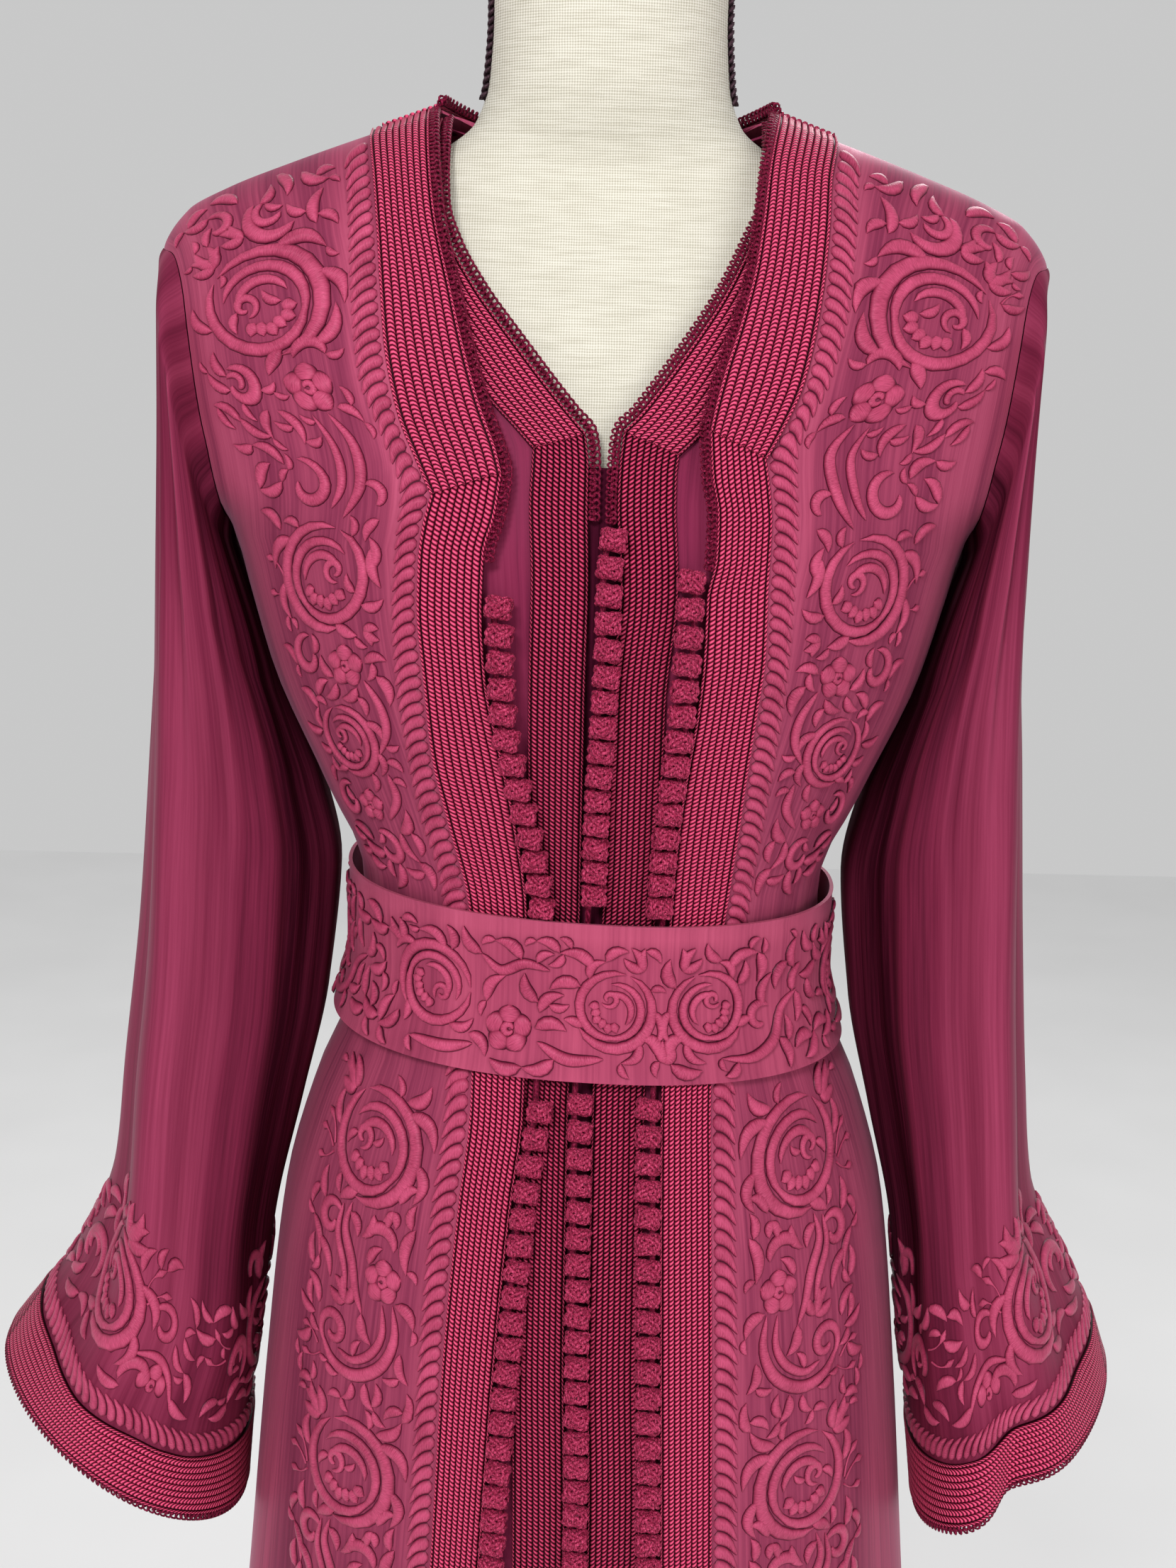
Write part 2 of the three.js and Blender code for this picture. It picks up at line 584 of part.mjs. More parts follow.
// The armhole's line over the front or the back, shared out evenly from the shoulder tip to the underarm
function armholeLine(sign, side, count) {
  const rows = ROWS.filter((row) => row.level >= UNDERARM_Z);
  const line = rows.map((row) => dressPoint(row, sign * lengthOf(row), side, 0));
  line[0].y = 0;
  line[line.length - 1].y = 0;
  const path = new THREE.CurvePath();
  for (let i = 1; i < line.length; i += 1) path.add(new THREE.LineCurve3(line[i - 1], line[i]));
  return path.getSpacedPoints(count);
}

// A sleeve's surface as lists of points down its length, one list for each step round it
function sleeveLines(sign, rings, folds) {
  const steps = SLEEVE_SEGMENTS / 2;
  const front = armholeLine(sign, -1, steps);
  const behind = armholeLine(sign, 1, steps).reverse();
  const armhole = [...front.slice(0, steps), ...behind.slice(0, steps)];
  return armhole.map((start, s) => {
    const angle = (360 * s) / SLEEVE_SEGMENTS;
    const out = Math.cos(degrees(angle));
    const fore = Math.sin(degrees(angle));
    const line = rings.map((ring, r) => {
      const reach = (ring.outX + ring.inX) / 2 + (out * (ring.outX - ring.inX)) / 2 - ring.lean * fore;
      const depth = fore > 0 ? ring.fore : ring.aft;
      const fold = sleeveFold(folds, angle, r);
      const z = (ring.outZ + ring.inZ) / 2 + (out * (ring.outZ - ring.inZ)) / 2;
      return new THREE.Vector3(sign * (reach + fold * out), -(depth + fold) * fore, z);
    });
    return [start.clone().add(new THREE.Vector3(sign * SLEEVE_SEAM_GAP, 0, 0)), ...line];
  });
}

// Outward normals of a looped sheet given as lines of points down its length
function lineNormals(lines, outwards) {
  const count = lines.length;
  return lines.map((line, s) => line.map((_, k) => {
    const before = lines[(s + count - 1) % count][k];
    const after = lines[(s + 1) % count][k];
    const along = line[Math.min(k + 1, line.length - 1)].clone().sub(line[Math.max(k - 1, 0)]);
    const across = after.clone().sub(before);
    return across.cross(along).multiplyScalar(outwards).normalize();
  }));
}

function moved(lines, normals, distance) {
  return lines.map((line, s) => {
    return line.map((point, k) => point.clone().addScaledVector(normals[s][k], distance));
  });
}

// One sleeve with its cuff braid and the edging on its hem
function addSleeve(name, sign, rings, folds) {
  const lines = sleeveLines(sign, rings, folds);
  const normals = lineNormals(lines, -sign);
  addMesh(`sleeve_${name}`, slab(lines, moved(lines, normals, -OUTER_CLOTH), true), OUTER_SATIN);
  const hem = lines[0].length - 1;
  const top = [];
  const bottom = [];
  lines.forEach((line, s) => {
    const base = [hem - 1, hem].map((k) => ({ point: line[k], normal: normals[s][k] }));
    top.push(braidRow(base, LAID_ON));
    bottom.push(base.map(({ point, normal }) => point.clone().addScaledVector(normal, LAID_ON)));
  });
  addMesh(`cuff_braid_${name}`, slab(top, bottom, true), BRAID);
  const loops = lines.map((line, s) => {
    const down = line[hem].clone().sub(line[hem - 1]).normalize();
    const start = line[hem].clone().addScaledVector(down, LAID_ON);
    const tip = line[hem].clone().addScaledVector(down, EDGING_WIDTH);
    const rise = normals[s][hem].clone().multiplyScalar(EDGING_THICKNESS / 2);
    return [start.clone().add(rise), tip, start.clone().sub(rise)];
  });
  addMesh(`cuff_edging_${name}`, swept(loops, true), BRAID);
}

// The belt goes once round from the centre back and overlaps its own end there
function belt() {
  const first = -180;
  const last = 196;
  const count = 38;
  const heights = [BELT.top, (BELT.top + BELT.bottom) / 2, BELT.bottom];
  const face = (offset) => {
    return Array.from({ length: count + 1 }, (_, i) => {
      const angle = first + ((last - first) * i) / count;
      const rise = BELT.overlapRise * THREE.MathUtils.smoothstep(angle, 120, 176);
      return heights.map((height) => {
        const s = Math.sin(degrees(angle));
        const c = Math.cos(degrees(angle));
        const power = 2 / SQUARENESS;
        const half = halfWidth(height) + offset + rise;
        const depth = (c > 0 ? frontDepth(height) : backDepth(height)) + offset + rise;
        const x = half * Math.sign(s) * Math.abs(s) ** power;
        const y = -depth * Math.sign(c) * Math.abs(c) ** power;
        return new THREE.Vector3(x, y, height - BELT.tilt * x);
      });
    });
  };
  return slab(face(BELT.clear + BELT.thickness), face(BELT.clear));
}

// The dress form is one smooth solid from the hips to the top of the neck
function dressForm() {
  const sections = FORM.map(({ z, half, front, back }) => {
    return Array.from({ length: FORM_SEGMENTS }, (_, i) => {
      const angle = (2 * Math.PI * i) / FORM_SEGMENTS;
      const s = Math.sin(angle);
      const c = Math.cos(angle);
      const power = 2 / SQUARENESS;
      const depth = c > 0 ? front : back;
      return new THREE.Vector3(
        half * Math.sign(s) * Math.abs(s) ** power,
        -depth * Math.sign(c) * Math.abs(c) ** power,
        z,
      );
    });
  });
  return swept(sections);
}

// A turned piece, upright at a depth
function turned(profile, segments, y = 0) {
  const geometry = new THREE.LatheGeometry(profile.map(([r, z]) => new THREE.Vector2(r, z)), segments);
  geometry.rotateX(Math.PI / 2);
  geometry.translate(0, y, 0);
  return geometry;
}

function addStand() {
  const { radius, plate, collar, top } = BASE;
  const disc = [
    [0, 0],
    [radius, 0],
    [radius, plate - 2],
    [radius - 4, plate],
    [collar + 4, plate],
    [collar, top],
    [0, top],
  ];
  addMesh("stand_base", turned(disc, 28), IRON);
  const shaft = [[0, POLE.bottom], [POLE.radius, POLE.bottom], [POLE.radius, POLE.top], [0, POLE.top]];
  addMesh("stand_pole", turned(shaft, 12), IRON);
  const cap = NECK_CAP;
  const knob = [
    [0, cap.bottom],
    [cap.radius, cap.bottom],
    [cap.radius, cap.rim - 3],
    [cap.radius - 4, cap.rim],
    [cap.knobNeck, cap.rim + 2],
    [cap.knob, cap.top - 12],
    [cap.knob - 3, cap.top - 3],
    [0, cap.top],
  ];
  addMesh("neck_cap", turned(knob, 16, cap.y), WOOD);
}

const SIDES = [
  { name: "left", sign: -1, rings: SLEEVE_LEFT, folds: SLEEVE_FOLDS },
  { name: "right", sign: 1, rings: SLEEVE_RIGHT, folds: [...SLEEVE_FOLDS, CUFF_DENT] },
];

const rowsUpward = [...ROWS].reverse();
const edgeAt = {
  left: straight(rowsUpward, "level", "outerLeft"),
  right: straight(rowsUpward, "level", "outerRight"),
};
const FIRST_KNOT = { left: 1262, right: 1274, middle: 1294 };
const OUTER_EDGING_END = 1285;
const INNER_EDGING_END = 1320;

addMesh("dress_form", dressForm(), LINEN);
addStand();
addMesh("inner_back", backPanel(-INNER_DRESS_DEPTH, INNER_CLOTH, 2, 3, innerSkirt), INNER_SATIN);
addMesh("outer_back", backPanel(0, OUTER_CLOTH, 2, 6, skirtFold), OUTER_SATIN);
addMesh("outer_braid_neck", neckBraid(), BRAID);
for (const { name, sign, rings, folds } of SIDES) {
  addMesh(`inner_front_${name}`, innerFront(sign), INNER_SATIN);
  addMesh(`inner_braid_${name}`, innerBraid(sign), BRAID);
  const innerEdge = (row) => sign * row.inner;
  addMesh(`inner_edging_${name}`, edging(innerEdge, sign, INNER_EDGING_END, INNER_DRESS_DEPTH), BRAID);
  addMesh(`outer_front_${name}`, outerFront(sign), OUTER_SATIN);
  addMesh(`outer_braid_${name}`, outerBraid(sign), BRAID);
  addMesh(`outer_edging_${name}`, edging((row) => outerEdge(row, sign), sign, OUTER_EDGING_END, 0), BRAID);
  addMesh(`outer_knots_${name}`, knotRow((z) => sign * edgeAt[name](z), sign, FIRST_KNOT[name], 0), BRAID);
  addSleeve(name, sign, rings, folds);
}
addMesh("inner_knots", knotRow(() => -1.5, -1, FIRST_KNOT.middle, 1.2), BRAID);
addMesh("belt", belt(), OUTER_SATIN);

// The part's origin is the middle of its box, on the floor
const box = new THREE.Box3().setFromObject(garment);
const centre = box.getCenter(new THREE.Vector3());
garment.position.set(-centre.x, -centre.y, -box.min.z);

export default garment;
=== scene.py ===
import math

import bpy
import numpy as np
from mathutils import Matrix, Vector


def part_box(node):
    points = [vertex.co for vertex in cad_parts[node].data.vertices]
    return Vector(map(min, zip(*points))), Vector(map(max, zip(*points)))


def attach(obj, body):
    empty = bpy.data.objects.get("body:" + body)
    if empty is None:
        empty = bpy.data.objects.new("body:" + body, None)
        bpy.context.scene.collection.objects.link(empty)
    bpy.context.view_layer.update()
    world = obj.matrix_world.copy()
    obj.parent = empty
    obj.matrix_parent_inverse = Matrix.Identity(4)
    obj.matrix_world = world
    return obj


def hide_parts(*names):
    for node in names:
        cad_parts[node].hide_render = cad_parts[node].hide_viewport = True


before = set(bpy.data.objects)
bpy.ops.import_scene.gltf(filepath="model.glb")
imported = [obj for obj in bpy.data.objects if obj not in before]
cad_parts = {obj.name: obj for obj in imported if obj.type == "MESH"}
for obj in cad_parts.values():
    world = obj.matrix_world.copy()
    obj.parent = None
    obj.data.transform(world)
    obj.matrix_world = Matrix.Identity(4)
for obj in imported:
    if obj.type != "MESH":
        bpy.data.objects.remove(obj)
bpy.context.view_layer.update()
bpy.ops.object.select_all(action="DESELECT")

# Frame: the stand's pole is the axis of the worn dress
MM = 0.001
base_low, base_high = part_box("stand_base")
AXIS = np.array([(base_low[0] + base_high[0]) / 2, (base_low[1] + base_high[1]) / 2, 0.0])

# Sizes of the dress
NECK_X, NECK_Z, BACK_NECK_DROP = 78.0, 1482.0, 18.0
UNDERARM_Z, HEM_Z = 1285.0, 24.0
SQUARENESS = 2.25
CLOTH = 1.4
INNER_CLOTH = 1.2
INNER_DEPTH = 6.0
BRAID_WIDTH = 29.0
BRAID_RIBS = 8
RIB_PITCH = 3.15
EDGE_CORD = 1.8
STITCH_LENGTH = 0.0021
STITCH_SLANT = 5.4


def table(columns, rows):
    names = columns.split()
    return [dict(zip(names, row)) for row in rows]


# Half widths and depths of the worn outer dress at each height
SECTIONS = table("z half front back", [
    (24, 250, 206, 224), (200, 232, 197, 208), (400, 212, 186, 190), (600, 192, 172, 170),
    (702, 181, 163, 158), (850, 168, 150, 142), (943, 157, 134, 126), (1000, 141, 119, 108),
    (1035, 126, 107, 92), (1075, 116, 99, 81), (1115, 118, 101, 80), (1160, 136, 110, 86),
    (1215, 160, 122, 95), (1250, 170, 127, 100), (1285, 180, 122, 102), (1311, 199, 115, 101),
    (1358, 212, 98, 93), (1390, 215, 85, 82), (1415, 212, 73, 73), (1433, 200, 64, 67),
    (1444, 180, 57, 63), (1456, 150, 48, 58), (1467, 120, 38, 50), (1474, 100, 30, 38),
    (1482, 78, 16, 20),
])

# Rows of the panels: how much each follows the shoulder line, and where its armhole or side seam is
ROWS = table("level droop end", [
    (1482, 1, 212), (1471, 0.92, 209), (1448, 0.74, 202), (1421, 0.54, 197), (1394, 0.36, 194),
    (1368, 0.2, 191), (1341, 0.08, 187), (1320, 0, 183), (1300, 0, 180), (1285, 0, 180),
])

# Creases beside the belt: each fades out from its near height to its far one
SIDE_CREASES = table("place far near depth", [
    (97, 1160, 1112, 1.1), (108, 1200, 1112, 1.6), (100, 960, 1040, 1.2), (112, 940, 1040, 2.0),
    (124, 1000, 1046, 1.4), (118, 1230, 1125, 1.4),
])
SIDE_CREASE_WIDTH = 3.2

FOLD_TOP_Z = 930.0
SKIRT_DRAWN_IN = 5.0
INNER_DRAWN_IN = 12.0
SKIRT_FOLDS = table("angle width depth", [
    (46, 9, 9), (72, 9, 15), (112, 9, 15), (136, 9, 17), (160, 9, 16), (184, 9, 15), (208, 9, 17),
    (233, 9, 16), (255, 8, 13), (290, 9, 15), (317, 9, 10),
])

# Edges of the braids, the rope-stitched borders and the dress's fronts at each height. The mitred corner
# of a braid is the row whose two heights differ.
OUTER_BRAID = {
    -1: table("z_in x_in z_out x_out", [
        (1482, 84, 1482, 112), (1455, 81, 1455, 107), (1432, 77.5, 1432, 104), (1401, 69, 1401, 101),
        (1377, 62.5, 1374, 98), (1350, 54, 1344, 91), (1331, 46.5, 1325, 82.5), (1320, 43.5, 1310, 75),
        (1302, 46, 1296, 78.5), (1285, 50.5, 1283, 80), (1262, 51, 1262, 80.4), (1230, 49, 1230, 77.6),
        (1191, 41, 1191, 74), (1159, 35, 1159, 67), (1115, 29.5, 1115, 57), (1075, 29, 1075, 54.5),
        (1020, 29.5, 1020, 55), (975, 34.5, 975, 59.5), (909, 40, 909, 65), (803, 46, 803, 70),
        (450, 61, 450, 87), (24, 72, 24, 98),
    ]),
    1: table("z_in x_in z_out x_out", [
        (1482, 80, 1482, 108), (1456, 73.5, 1456, 102.5), (1435, 70.5, 1435, 101), (1413, 67, 1413, 99),
        (1389, 60.5, 1386, 95), (1367, 53.5, 1360, 89), (1351, 49.5, 1342, 81), (1341, 47.5, 1328, 73),
        (1322, 48.5, 1314, 75), (1304, 51.5, 1300, 76), (1285, 51, 1285, 75.5), (1268, 47.5, 1268, 75),
        (1242, 47, 1242, 75), (1219, 45.5, 1219, 73), (1187, 41.5, 1187, 70), (1162, 39, 1162, 68),
        (1128, 37, 1128, 65), (1075, 36, 1075, 60), (1022, 35, 1022, 59), (979, 35.5, 979, 60),
        (912, 37, 912, 62), (807, 40, 807, 65), (450, 49, 450, 76), (24, 58, 24, 84),
    ]),
}
INNER_BRAID = {
    -1: table("z_in x_in z_out x_out", [
        (1482, 80, 1482, 106), (1440, 77, 1440, 103), (1423, 70.5, 1421, 99), (1405, 58.5, 1400, 88),
        (1383, 41, 1378, 71), (1360, 23, 1354, 51), (1349, 14, 1343, 40), (1340.5, 7, 1333, 31),
        (1326, 5.5, 1322, 31.5), (1308, 5.5, 1308, 32), (1270, 4.5, 1270, 30.5), (1216, 5, 1216, 31),
        (1147, 5, 1147, 30.5), (1118, 5, 1118, 30), (1075, 6.5, 1075, 31), (1018, 8.5, 1018, 33),
        (912, 8, 912, 33.5), (812, 5.5, 812, 31.5), (450, 4, 450, 30), (24, 4, 24, 30),
    ]),
    1: table("z_in x_in z_out x_out", [
        (1482, 79, 1482, 105), (1440, 72.5, 1440, 100), (1430, 67.5, 1428, 97), (1407, 55.5, 1402, 86),
        (1382, 39.5, 1376, 70), (1359, 23.5, 1350, 53), (1349, 16, 1339, 43), (1342, 9.5, 1331, 35),
        (1327, 8, 1321, 34), (1308, 7.5, 1308, 34), (1270, 9.5, 1270, 36), (1216, 6, 1216, 32),
        (1147, 6, 1147, 32), (1118, 5.5, 1118, 31.5), (1075, 4.5, 1075, 30.5), (1018, 2.5, 1018, 28.5),
        (912, 2.5, 912, 28.5), (812, 5, 812, 31), (450, 4, 450, 30), (24, 4, 24, 30),
    ]),
}
ROPE_EDGE = {
    -1: table("z x", [
        (1482, 126), (1454, 120), (1432, 118), (1400, 115.5), (1363, 111), (1333, 98.5), (1309, 90),
        (1284, 92), (1259, 93), (1229, 92), (1195, 88), (1160, 82), (1127, 73), (1075, 68.5),
        (1018, 68.5), (973, 73.5), (906, 78), (800, 83), (450, 100), (24, 111),
    ]),
    1: table("z x", [
        (1482, 122), (1460, 116), (1437, 114.5), (1396, 110.5), (1365, 103), (1328, 88), (1294, 89),
        (1263, 88), (1234, 87), (1189, 83.5), (1153, 80), (1123, 77), (1075, 73), (1021, 72), (976, 73),
        (910, 75.5), (805, 78.5), (450, 89), (24, 97),
    ]),
}

# Knot columns: the middle of each knot at a height
KNOT_COLUMNS = [
    {"name": "left", "lift": 2.4, "reach": -1, "tops": (1262.5, 1020), "path": table("z x", [
        (1262, -43.5), (1212, -41), (1180, -34.5), (1137, -25.5), (1115, -22.5), (1026, -21.5), (991, -26.5),
        (926, -32.5), (843, -38.5), (700, -45),
    ])},
    {"name": "middle", "lift": 0.4, "reach": -1, "tops": (1293, 1024), "path": table("z x", [
        (1293, 6), (1276, 4.6), (1245, 4.6), (1208, 3.2), (1158, 1.4), (1116, 1.2), (1027, -3), (992, -2.8),
        (920, -2), (845, -1), (700, 0),
    ])},
    {"name": "right", "lift": 2.4, "reach": 1, "tops": (1275.5, 1022), "path": table("z x", [
        (1276, 40.5), (1238, 39.5), (1197, 37), (1158, 33.4), (1116, 31.5), (1027, 29), (992, 29.5),
        (920, 31), (845, 33), (700, 37),
    ])},
]
KNOT_PITCH = 12.0
KNOT_END_Z = 745.0
BELT = {"top": 1112.0, "bottom": 1036.0, "tilt": 0.04, "clear": 4.2, "thickness": 2.6, "overlap": 3.4}
BELT_MIDDLE = 1070.0

# Rings of the sleeves, from the armhole down to the hem
RING_COLUMNS = "out_x out_z in_x in_z fore aft lean"
SLEEVE_RINGS = {
    1: table(RING_COLUMNS, [
        (210, 1398, 187, 1270, 66, 62, 0),
        (209, 1318, 158, 1202, 68, 66, -3),
        (211, 1250, 144, 1158, 67, 66, -5),
        (217, 1170, 132, 1108, 64, 66, -6),
        (223, 1085, 136, 1048, 64, 66, -4),
        (230, 1008, 150, 982, 68, 70, 0),
        (238, 947, 164, 922, 76, 78, 6),
        (263, 894, 172, 858, 92, 92, 14),
        (276, 863, 179, 822, 101, 100, 19),
        (286, 828, 187, 778, 101, 106, 28),
    ]),
    -1: table(RING_COLUMNS, [
        (213, 1398, 187, 1270, 66, 62, 0),
        (215, 1318, 158, 1202, 68, 66, -3),
        (219, 1250, 144, 1158, 67, 66, -5),
        (225, 1170, 132, 1108, 64, 66, -6),
        (232, 1085, 136, 1048, 64, 66, -4),
        (242, 1008, 150, 982, 68, 70, 0),
        (250, 947, 164, 922, 76, 78, 6),
        (271, 895, 173, 860, 92, 92, 15),
        (290, 866, 178, 824, 101, 100, 15),
        (311, 834, 184, 768, 95, 108, 22),
    ]),
}
SLEEVE_FOLDS = table("angle width depth start full end", [
    (30, 13, -6, 1, 4, 8), (62, 12, 5, 0, 3, 8), (92, 12, -8, 1, 3, 8), (122, 12, 5, 0, 2, 7),
    (150, 11, -6, 0, 3, 7), (212, 12, -6, 0, 3, 7), (242, 12, 5, 0, 3, 8), (272, 12, -8, 1, 3, 8),
    (302, 12, 5, 1, 4, 9), (332, 12, -6, 1, 4, 8),
])
CUFF_DENT = table("angle width depth start full end", [(74, 17, -17, 6, 9, 99)])
LAST_RING = 9

# How much nearer the bodice the sleeve's inner side hangs, ring by ring
SLEEVE_CLOSER = [(0, 8), (1, 1.5), (2, 5), (3, 2), (4, 0), (LAST_RING, 0)]

# Fine creases in the sleeves, which the gathers at the armhole and the hanging weight draw
SLEEVE_CREASES = table("angle width depth start full end drift", [
    (14, 6, -2.6, 0, 2, 4, 4), (46, 5, -2.8, -0.6, 1, 3.6, -6), (55, 5, 2.0, -0.6, 1, 3.6, -6),
    (70, 4.5, -3.2, -0.6, 0.8, 3.6, 3), (79, 4.5, 2.4, -0.6, 0.8, 3.4, 4), (100, 5, 2.0, 0, 2, 5, -6),
    (110, 5, -3.6, -0.6, 1, 8.5, -4), (134, 6, -4.0, -0.6, 1, 7.5, 2), (143, 5, 2.0, -0.6, 1, 5, 2),
    (165, 5, -2.6, 0, 2, 6, 0), (198, 5, -3.0, 0, 2, 6, 0), (226, 5, -3.4, -0.6, 1, 7, 4),
    (258, 5, -3.0, -0.6, 1, 4.5, -4), (287, 5, -3.2, -0.6, 1, 5, 3), (318, 5, -3.0, -0.6, 1.5, 4, -3),
    (345, 5, -2.6, 0, 2, 4, 0),
])
SLEEVE_COLUMNS, SLEEVE_ROWS, HEAD_ROWS = 120, 80, 14

FORM = table("z half front back", [
    (822, 148, 129, 124), (850, 155, 137, 130), (930, 147, 124, 116), (985, 134, 111, 100),
    (1032, 115, 96, 81), (1075, 104, 87, 69), (1118, 107, 90, 68), (1165, 126, 99, 75),
    (1215, 145, 109, 83), (1250, 156, 113, 87), (1285, 160, 108, 89), (1320, 164, 98, 87),
    (1358, 172, 84, 81), (1388, 184, 72, 72), (1404, 194, 62, 64), (1421, 183, 52, 56),
    (1433, 160, 45, 51), (1444, 132, 40, 47), (1455, 100, 38, 39), (1465, 76, 40, 34),
    (1476, 63, 45, 34), (1494, 57, 51, 38), (1525, 55, 55, 43), (1562, 56, 58, 46),
])


class Curve:
    """One column of a table, read at any value of another column, smooth or straight between the rows."""

    def __init__(self, rows, at, key, straight=False):
        rows = sorted(rows, key=lambda row: row[at])
        self.x = np.array([row[at] for row in rows], float)
        self.y = np.array([row[key] for row in rows], float)
        self.straight = straight
        slopes = np.diff(self.y) / np.diff(self.x)
        before, after = slopes[:-1], slopes[1:]
        bend = before * after > 0
        total = np.where(bend, before + after, 1.0)
        middle = np.where(bend, 2 * before * after / total, 0.0)
        self.slope = np.concatenate([slopes[:1], middle, slopes[-1:]])

    def __call__(self, value):
        value = np.clip(value, self.x[0], self.x[-1])
        if self.straight:
            return np.interp(value, self.x, self.y)
        i = np.clip(np.searchsorted(self.x, value, side="right") - 1, 0, len(self.x) - 2)
        width = self.x[i + 1] - self.x[i]
        u = (value - self.x[i]) / width
        start = (2 * u**3 - 3 * u**2 + 1) * self.y[i] + (u**3 - 2 * u**2 + u) * width * self.slope[i]
        end = (3 * u**2 - 2 * u**3) * self.y[i + 1] + (u**3 - u**2) * width * self.slope[i + 1]
        return start + end


half_width = Curve(SECTIONS, "z", "half")
front_depth = Curve(SECTIONS, "z", "front")
back_depth = Curve(SECTIONS, "z", "back")
shoulder_line = Curve([row for row in SECTIONS if row["z"] >= 1415], "half", "z")
droop_at = Curve(ROWS, "level", "droop")
armhole_at = Curve(ROWS, "level", "end")


def smoothstep(value, low, high):
    u = np.clip((value - low) / (high - low), 0, 1)
    return u * u * (3 - 2 * u)


def hump(value, middle, width):
    """A smooth bump of height one."""
    return np.exp(-(((value - middle) / width) ** 2))


def seam_end(level):
    """How far from the centre line a row's armhole or side seam is."""
    return np.where(level >= UNDERARM_Z, armhole_at(level), half_width(level))


def top_line(x):
    reach = np.abs(x)
    neck = NECK_Z - BACK_NECK_DROP * (1 - (reach / NECK_X) ** 2)
    return np.where(reach >= NECK_X, shoulder_line(reach), neck)


def skirt_growth(z):
    """How far the skirt's folds have opened at a height: nothing at their top and all at the hem."""
    return np.clip((FOLD_TOP_Z - z) / (FOLD_TOP_Z - HEM_Z), 0, 1)


def outer_skirt(angle, z):
    turn = np.mod(angle, 360)
    swell = sum(f["depth"] * hump(turn, f["angle"], f["width"]) for f in SKIRT_FOLDS)
    return skirt_growth(z) * (swell - SKIRT_DRAWN_IN)


def inner_skirt(angle, z):
    return -skirt_growth(z) * (SKIRT_DRAWN_IN + INNER_DRAWN_IN * smoothstep(np.abs(angle), 16, 40))


def surface_level(x, y, z, side):
    depth = np.where(side < 0, front_depth(z), back_depth(z))
    return (np.abs(x) / half_width(z)) ** SQUARENESS + (np.abs(y) / depth) ** SQUARENESS


def surface_normal(x, y, z, side):
    step = 0.05
    normal = np.stack([
        surface_level(x + step, y, z, side) - surface_level(x - step, y, z, side),
        surface_level(x, y + step, z, side) - surface_level(x, y - step, z, side),
        surface_level(x, y, z + step, side) - surface_level(x, y, z - step, side),
    ], axis=-1)
    return normal / np.linalg.norm(normal, axis=-1, keepdims=True)


def worn(x, level, side, offset=0.0, skirt=outer_skirt, droop=None):
    """Points of the worn dress: x from the centre line, on rows that hang from the shoulder line."""
    x, level, offset = np.broadcast_arrays(np.asarray(x, float), np.asarray(level, float), offset)
    droop = droop_at(level) if droop is None else droop
    z = level - droop * (NECK_Z - top_line(x))
    depth = np.where(side < 0, front_depth(z), back_depth(z))
    share = np.minimum(1, np.abs(x) / half_width(z)) ** SQUARENESS
    on_shoulder = (droop > 0.9999) & (np.abs(x) >= NECK_X)
    y = side * np.where(on_shoulder, 0, depth * (1 - share) ** (1 / SQUARENESS))
    normal = surface_normal(x, y, z, side)
    turn = np.degrees(np.arcsin(np.sqrt(share)))
    angle = np.where(x < 0, -1, 1) * (turn if side < 0 else 180 - turn)
    level_out = normal[..., :2] / np.maximum(1e-6, np.linalg.norm(normal[..., :2], axis=-1, keepdims=True))
    points = np.stack([x, y, z], axis=-1)
    points[..., :2] += level_out * skirt(angle, z)[..., None]
    points += normal * offset[..., None]
    points[..., 1] = side * np.maximum(0.2, side * points[..., 1])
    return points


# Making pieces
def grid_faces(rows, columns, start=0, loop=False):
    r = np.arange(rows if loop else rows - 1)[:, None]
    c = np.arange(columns - 1)[None, :]
    here = start + r * columns + c
    below = start + ((r + 1) % rows) * columns + c
    return np.stack([here, here + 1, below + 1, below], axis=-1).reshape(-1, 4)


def looped(first, second):
    """Faces of a grid that closes on itself both ways."""
    row, column = np.meshgrid(np.arange(first), np.arange(second), indexing="ij")
    here, below = row * second, (row + 1) % first * second
    beside = (column + 1) % second
    return np.stack([here + column, here + beside, below + beside, below + column], axis=-1).reshape(-1, 4)


def repeated(faces, count, size):
    """Faces of one shape with size points, carried on over its copies."""
    return (faces[None] + (np.arange(count) * size)[:, None, None]).reshape(-1, faces.shape[-1])


def signed_volume(points, faces):
    total = 0.0
    for group in faces:
        for k in range(1, group.shape[1] - 1):
            a, b, c = points[group[:, 0]], points[group[:, k]], points[group[:, k + 1]]
            total += np.einsum("ij,ij->i", a, np.cross(b, c)).sum()
    return total


def wall_faces(rows, columns, low_columns, loop=False):
    """Faces that close a grid of points over a grid with as many rows below it."""
    start = rows * columns
    line = np.append(np.arange(rows), 0) if loop else np.arange(rows)
    near = [line * columns, start + line * low_columns]
    far = [line * columns + columns - 1, start + line * low_columns + low_columns - 1]
    faces = [
        grid_faces(rows, columns, 0, loop),
        grid_faces(rows, low_columns, start, loop)[:, ::-1],
        np.stack([near[0][:-1], near[0][1:], near[1][1:], near[1][:-1]], axis=-1),
        np.stack([far[0][1:], far[0][:-1], far[1][:-1], far[1][1:]], axis=-1),
    ]
    if not loop:
        top, low = np.arange(columns), start + np.arange(low_columns)
        faces.append(np.concatenate([top[::-1], low])[None, :])
        last_top, last_low = top + (rows - 1) * columns, low + (rows - 1) * low_columns
        faces.append(np.concatenate([last_top, last_low[::-1]])[None, :])
    return faces


